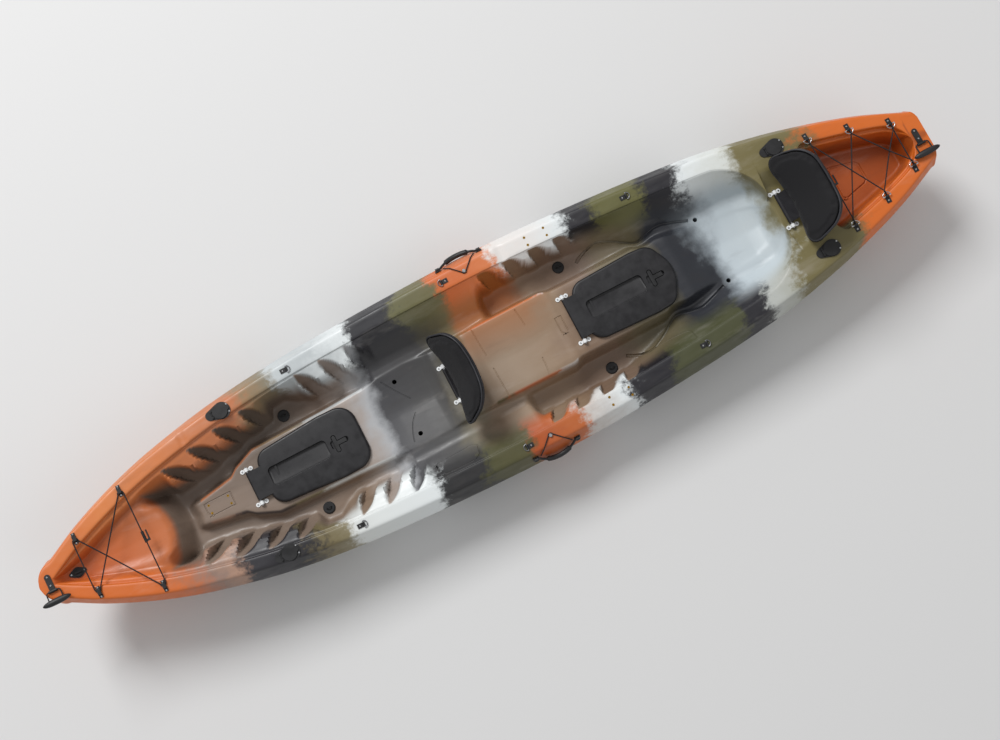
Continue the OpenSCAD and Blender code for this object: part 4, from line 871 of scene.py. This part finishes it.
# Cords, on the same routes as the part's source
def cord(name, path, radius, body, node):
    line = bpy.data.curves.new(name, "CURVE")
    line.dimensions = "3D"
    line.bevel_depth = radius * MM
    line.bevel_resolution = 3
    line.use_fill_caps = True
    s = line.splines.new("POLY")
    s.points.add(len(path) - 1)
    for p, q in zip(s.points, path):
        p.co = (q[0] * MM, q[1] * MM, q[2] * MM, 1)
    obj = bpy.data.objects.new(name, line)
    scene.collection.objects.link(obj)
    line.materials.append(CORD)
    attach(obj, body)
    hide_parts(node)


# Places along the boat: pad eyes, tabs round the tank well, paddle keepers and carry handles
EYES = (-HL + 181, -HL + 394)
TANK_TABS = (HL - 405, HL - 250, HL - 104)
KEEPER_X = 56
HANDLES = (("bow", -HL + 39), ("stern", HL - 39))


def crossing(a, b, lift):
    # where a cord between two holds crosses the centre line
    q = a[1] / (a[1] + b[1])
    return (mix(a[0], b[0], q), 0, (a[2] + b[2]) / 2 + lift)


def eye_turn(x, m, s):
    # the cord's way through a pad eye on side m, in direction s
    k = math.tan(gun_tilt(x))
    return [(x + s * a, m * (gun_mid(x) - 2 + b), sheer(x) + 4.9 - s * a * k)
            for a, b in ((-11, -12), (-9, -4), (-4, 0), (4, 0), (9, -4), (11, -12))]


def bow_route():
    a, b = [(x, gun_mid(x), sheer(x)) for x in EYES]
    e, z = EYES[1] + 11, eye_turn(EYES[1], -1, -1)[0][2]
    return ([(e, -1, z)] + eye_turn(EYES[1], -1, -1) + [crossing(a, b, 1.6)] + eye_turn(EYES[0], 1, -1)
            + eye_turn(EYES[0], -1, 1) + [crossing(a, b, 8)] + eye_turn(EYES[1], 1, 1) + [(e, 1, z)])


def tank_hold(x):
    return (x, tank_w(x) - 3, sheer(x) + 9)


# The cord's way round a tab's ring, across and up
RING_TURN = ((-9, 5.2), (-1, 5.4), (3.6, 3.9), (5.2, 0), (3.6, -3.9), (-1, -5.4), (-9, -5.2))


def ring_turn(x, m, s):
    h = tank_hold(x)
    return [(x, m * (h[1] + a), h[2] + s * b) for a, b in RING_TURN]


def stern_route():
    t = TANK_TABS
    a, b, c = [tank_hold(x) for x in t]
    return ([(a[0], -1, a[2] + 5.2)] + ring_turn(t[0], -1, 1)
            + [crossing(a, b, -3.4)] + ring_turn(t[1], 1, -1)
            + [crossing(b, c, 3.4)] + ring_turn(t[2], -1, 1) + ring_turn(t[2], 1, -1)
            + [crossing(b, c, -3.4)] + ring_turn(t[1], -1, -1)
            + [crossing(a, b, 3.4)] + ring_turn(t[0], 1, -1) + [(a[0], 1, a[2] + 5.2)])


def keeper_route(m):
    # half the cord, from the flank over the gunwale's edge to the rivet, then the same back
    x = KEEPER_X
    o, y, g = gun_out(x), gun_mid(x), sheer(x) + 3.6
    # the ends are this share of the way down the flank, which is 42 wide and 78 high
    down = 0.36
    half = [(-66, o + down * 42 + 4.2, sheer(x) - down * 78 + 2.2), (-46, o + 4, g - 1.6), (-38, o - 4, g),
            (-10, y, g), (-5, y - 7.5, g)]
    return [(x + a, m * b, c) for a, b, c in half] + [(x - a, m * b, c) for a, b, c in half[::-1]]


def handle_place(x):
    # a handle's own axes, at the barrel of its plate
    return (Matrix.Translation((x, 0, sheer(x) + 0.2)) @ Matrix.Rotation(gun_tilt(x), 4, "Y")
            @ Matrix.Translation((0, -29, 6.6)) @ Matrix.Rotation(math.radians(-11), 4, "X"))


def loop_route(x):
    # the toggle's cord: up one side, round through the barrel of the plate, down the other
    turns = [math.radians(15 * i) for i in range(7)]
    half = [(-26, -40, 0)] + [(-18 - 8 * math.cos(a), -8 + 8 * math.sin(a), 0) for a in turns]
    local = half + [(-a, b, c) for a, b, c in half[::-1]]
    place = handle_place(x)
    return [tuple(place @ Vector(p)) for p in local]


def make_cords():
    for name, path in (("bow_bungee", bow_route()), ("stern_bungee", stern_route())):
        cord(name + "_cord", path, 2.5, "hull", name)
    for m, side in ((1, "stbd"), (-1, "port")):
        cord("paddle_keeper_" + side, keeper_route(m), 2.2, "hull", "paddle_keepers")
    for end, x in HANDLES:
        cord(end + "_toggle_cord", loop_route(x), 2.5, end + "_toggle", end + "_handle_cord")


make_cords()


# Half length and radius of a toggle, and its place on the loop
TOGGLE_HALF, TOGGLE_R, TOGGLE_Y = 53, 12.3, -41


def make_toggle(end, x):
    # tapered spindle, spun about its own length
    bm = bmesh.new()
    place = handle_place(x) @ Matrix.Translation((0, TOGGLE_Y, 0))
    n = 24
    line = []
    for i in range(n + 1):
        q = 2 * i / n - 1
        line.append(bm.verts.new((TOGGLE_HALF * q, 0, TOGGLE_R * max(0.03, 1 - abs(q) ** 2.6) ** 0.5)))
    edges = [bm.edges.new(pair) for pair in zip(line, line[1:])]
    bmesh.ops.spin(bm, geom=line + edges, axis=(1, 0, 0), cent=(0, 0, 0), angle=2 * math.pi, steps=28)
    bmesh.ops.remove_doubles(bm, verts=bm.verts, dist=1e-3)
    close_holes(bm)
    for v in bm.verts:
        v.co = place @ v.co * MM
    grip = new_object(end + "_toggle_grip", bm, end + "_toggle", 60)
    grip.data.materials.append(NYLON)
    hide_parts(end + "_handle_toggle")


for each in HANDLES:
    make_toggle(*each)


# Hatch lids, soft-edged: hinge x, tongue half width, deck, corners and aft round (x, y, r), grip, T bar x
LIDS = (("front", -1034, 58, CONSOLE_Z, ((-931, 58, 55), (-642, 58, 70), (-702, 0, 130)),
         (-961, -716), -682),
        ("rear", 342, 83, HATCH_Z, ((437, 62, 60), (690, 67, 60), (645, 0, 130)),
         (409, 648), 683))


def lid_ring(corners, d, z):
    # the lid's outline, drawn in by d: in each direction, the corner that reaches furthest
    both = [(x, m * y, r) for x, y, r in corners for m in SIDES]
    n = 160
    out = []
    for i in range(n):
        c, s = math.cos(2 * math.pi * i / n), math.sin(2 * math.pi * i / n)
        x, y, r = max(both, key=lambda k: k[0] * c + k[1] * s + k[2])
        out.append((x + (r - d) * c, y + (r - d) * s, z))
    return out


def block(outline, low, high):
    bm = bmesh.new()
    prism(bm, outline, low, high)
    return new_object("tool", bm)


def box(x0, x1, half):
    return [(x0, -half), (x1, -half), (x1, half), (x0, half)]


def make_lid(end, hinge, half, z, corners, grip, tx):
    # top, round of its edge, the latch's pivot, and a height clear of the top
    top, r, px = z + 18, 11, tx + 41
    clear = top + 10
    bm = bmesh.new()
    rings = [lid_ring(corners, 6, z + 12), lid_ring(corners, 6, z + 3.6), lid_ring(corners, 0, z + 3.6)]
    for k in range(9):
        a = math.radians(90 * k / 8)
        rings.append(lid_ring(corners, r * (1 - math.cos(a)), top - r + r * math.sin(a)))
    loft(bm, rings)
    lid = new_object(end + "_lid", bm)
    # the tongue, rolled round the hinge rod
    bm = bmesh.new()
    turn = [math.radians(90 + 15 * k) for k in range(13)]
    leaf = [(hinge + 8 * math.cos(a), z + 10.2 + 8 * math.sin(a)) for a in turn]
    leaf += [(hinge + 64, z + 3), (hinge + 64, top - 0.05)]
    loft(bm, [[(x, m * half, h) for x, h in leaf] for m in SIDES])
    cut(lid, new_object("tool", bm), "UNION")
    added = ((box(tx - 18, tx + 57, 42), z + 3, z + 13),
             (box(tx + 14, tx + 55, 18), z - 20, z + 4),
             (box(grip[0] - 2, grip[1] + 4, 43), z + 3.2, z + 13.5))
    for each in added:
        cut(lid, block(*each), "UNION")
    # the grip is a scoop, deep along starboard and running out to port
    bm = bmesh.new()
    loft(bm, [[(x, y, z + h) for x, y in round_rect(grip[0] + e, grip[1] - e, 37.5 - e, 17 - e)]
              for h, e in ((6.5, 7), (7.5, 3), (10, 0.8), (17.6, 0), (24, 0))])
    for v in bm.verts:
        if v.co.z < (z + 17) * MM:
            v.co.z = mix(v.co.z, (z + 15.6) * MM, ease(0.03, -0.034, v.co.y))
    cut(lid, new_object("tool", bm))
    # pockets for the latch's T bar, its stem, its pivot and a finger, and the slot of its tongue
    pockets = ((round_rect(tx - 9.6, tx + 9.6, 35.6, 9.5), z + 9, clear),
               (round_rect(tx, px + 8, 10.6, 7), z + 9, clear),
               (round_rect(px - 11, px + 11, 11, 10.9), z + 6, clear),
               (round_rect(tx - 20, tx, 17, 9), z + 11, clear),
               (box(tx, tx + 100, 12.2), z - 14.2, z - 9.8))
    for each in pockets:
        cut(lid, block(*each))
    paint(lid, LID)
    soften(lid.data, 32)
    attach(lid, end + "_lid")
    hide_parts(end + "_hatch_lid")


for each in LIDS:
    make_lid(*each)


# Backrest pads: foam in a woven cover, swelled from a slightly smaller form, with a bound edge
# End, hinge's x and z, recline in degrees, and how far the bound edge is drawn in
BACKS = (("front", -184, 210.2, 26, 0), ("rear", 1252, 276.89, 40, 12))
# Pad's middle above the hinge, radius of the shell it lies on, and that curve's axis ahead of the hinge
PAD_Z, PAD_R, PAD_AXIS = 143, 420, 423.9
VOXEL_M = 0.005
SWELL_M = 0.005


def back_place(x, z, recline):
    return Matrix.Translation((x, 0, z)) @ Matrix.Rotation(math.radians(recline), 4, "Y")


@functools.lru_cache(maxsize=None)
def back_reach(a):
    # from the pad's middle to the shell's edge in one direction
    out = []
    for k in range(-40, 41):
        c, s = math.cos(a + 0.035 * k), math.sin(a + 0.035 * k)
        out.append(max(134 * abs(c) - 45 * s + 50, 75 * abs(c) + 2 * s + 95) / math.cos(0.035 * k))
    return min(out) - 2


def pad_point(r, a, d, grow):
    reach = (back_reach(a) + grow) * r
    u, v = reach * math.cos(a), PAD_Z + reach * math.sin(a)
    return Vector((math.sqrt(PAD_R ** 2 - u * u) - PAD_AXIS - d, u, v))


def pad_depth(r):
    return 6 + 20 * (1 - r ** 3.5) ** 0.6


# Rings of a pad from the middle of its front to the middle of its back: share of the reach, and depth
PAD_RINGS = [(q, pad_depth(q)) for q in (0.02, 0.2, 0.4, 0.6, 0.75, 0.86, 0.94, 0.985)] + [(1, 5), (1, 0.3)]
PAD_RINGS += [(q, 0.3) for q in (0.85, 0.6, 0.35, 0.02)]


def make_pad(end, x, z, recline, tuck):
    place = back_place(x, z, recline)
    bm = bmesh.new()
    n = 96
    bmesh.ops.create_grid(bm, x_segments=n, y_segments=len(PAD_RINGS) - 1, size=1)
    for v in bm.verts:
        i = round((v.co.x + 1) / 2 * n) % n
        q, d = PAD_RINGS[round((v.co.y + 1) / 2 * (len(PAD_RINGS) - 1))]
        v.co = place @ pad_point(q, 2 * math.pi * i / n, d * 0.9 if d > 1 else d, -3) * MM
    bmesh.ops.remove_doubles(bm, verts=bm.verts, dist=1e-5)
    close_holes(bm)
    pad = new_object(end + "_backrest_foam", bm)
    pad.data.materials.append(CLOTH)
    swell(pad, place)
    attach(pad, end + "_backrest")
    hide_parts(end + "_backrest_pad")
    bm = bmesh.new()
    # the bound edge is drawn in low down, where the folded pad comes close to the deck
    turns = [2 * math.pi * i / n for i in range(n + 1)]
    edge = [place @ pad_point(1, a, 4.2, -1 - tuck * max(0.0, -math.sin(a))) for a in turns]
    sweep(bm, edge, 3.6, 10)
    binding = new_object(end + "_backrest_binding", bm, end + "_backrest", 80)
    binding.data.materials.append(BINDING)


def swell(pad, place):
    # the cover blown up a little, forward and sideways only
    mod = pad.modifiers.new("voxels", "REMESH")
    mod.mode = "VOXEL"
    mod.voxel_size = VOXEL_M
    mesh = evaluated(pad)
    pad.modifiers.clear()
    pad.data = mesh
    paint(pad, CLOTH)
    rest = [v.co.copy() for v in mesh.vertices]
    cloth = pad.modifiers.new("cloth", "CLOTH")
    cloth.settings.use_pressure = True
    cloth.settings.uniform_pressure_force = 4
    cloth.settings.effector_weights.gravity = 0
    for f in range(1, 21):
        scene.frame_set(f)
    moved = evaluated(pad)
    pad.modifiers.clear()
    back = place.to_3x3() @ Vector((1, 0, 0))
    for v, a in zip(mesh.vertices, rest):
        d = moved.vertices[v.index].co - a
        d -= back * max(0.0, d.dot(back))
        if d.length > SWELL_M:
            d *= SWELL_M / d.length
        v.co = a + d
    bpy.data.meshes.remove(moved)
    scene.frame_set(1)
    soft = pad.modifiers.new("soft", "SUBSURF")
    soft.levels = soft.render_levels = 1
    mesh.shade_smooth()


for each in BACKS:
    make_pad(*each)


# Floor and light
# Lamps: name, place and size in metres, power in watts
LAMPS = (("key", (-2.4, 9.0, 10.0), 5.0, 1450.0), ("fill", (5.0, -9.0, 11.0), 7.0, 160.0))


def make_stage():
    bm = bmesh.new()
    bmesh.ops.create_grid(bm, x_segments=2, y_segments=2, size=60)
    floor = new_object("floor", bm)
    floor.location.z = -0.002
    floor.data.materials.append(finish("pale_floor", "#d6d6d6", Roughness=0.95)[0])
    world = bpy.data.worlds.new("studio")
    scene.world = world
    world.use_nodes = True
    sky = world.node_tree.nodes["Background"]
    sky.inputs[0].default_value = (1, 1, 1, 1)
    sky.inputs[1].default_value = 0.46
    for name, place, size, power in LAMPS:
        lamp = bpy.data.lights.new(name, "AREA")
        lamp.shape = "SQUARE"
        lamp.size = size
        lamp.energy = power
        obj = bpy.data.objects.new(name, lamp)
        obj.location = place
        obj.rotation_euler = (-Vector(place)).to_track_quat("-Z", "Y").to_euler()
        obj.visible_camera = False
        scene.collection.objects.link(obj)


make_stage()
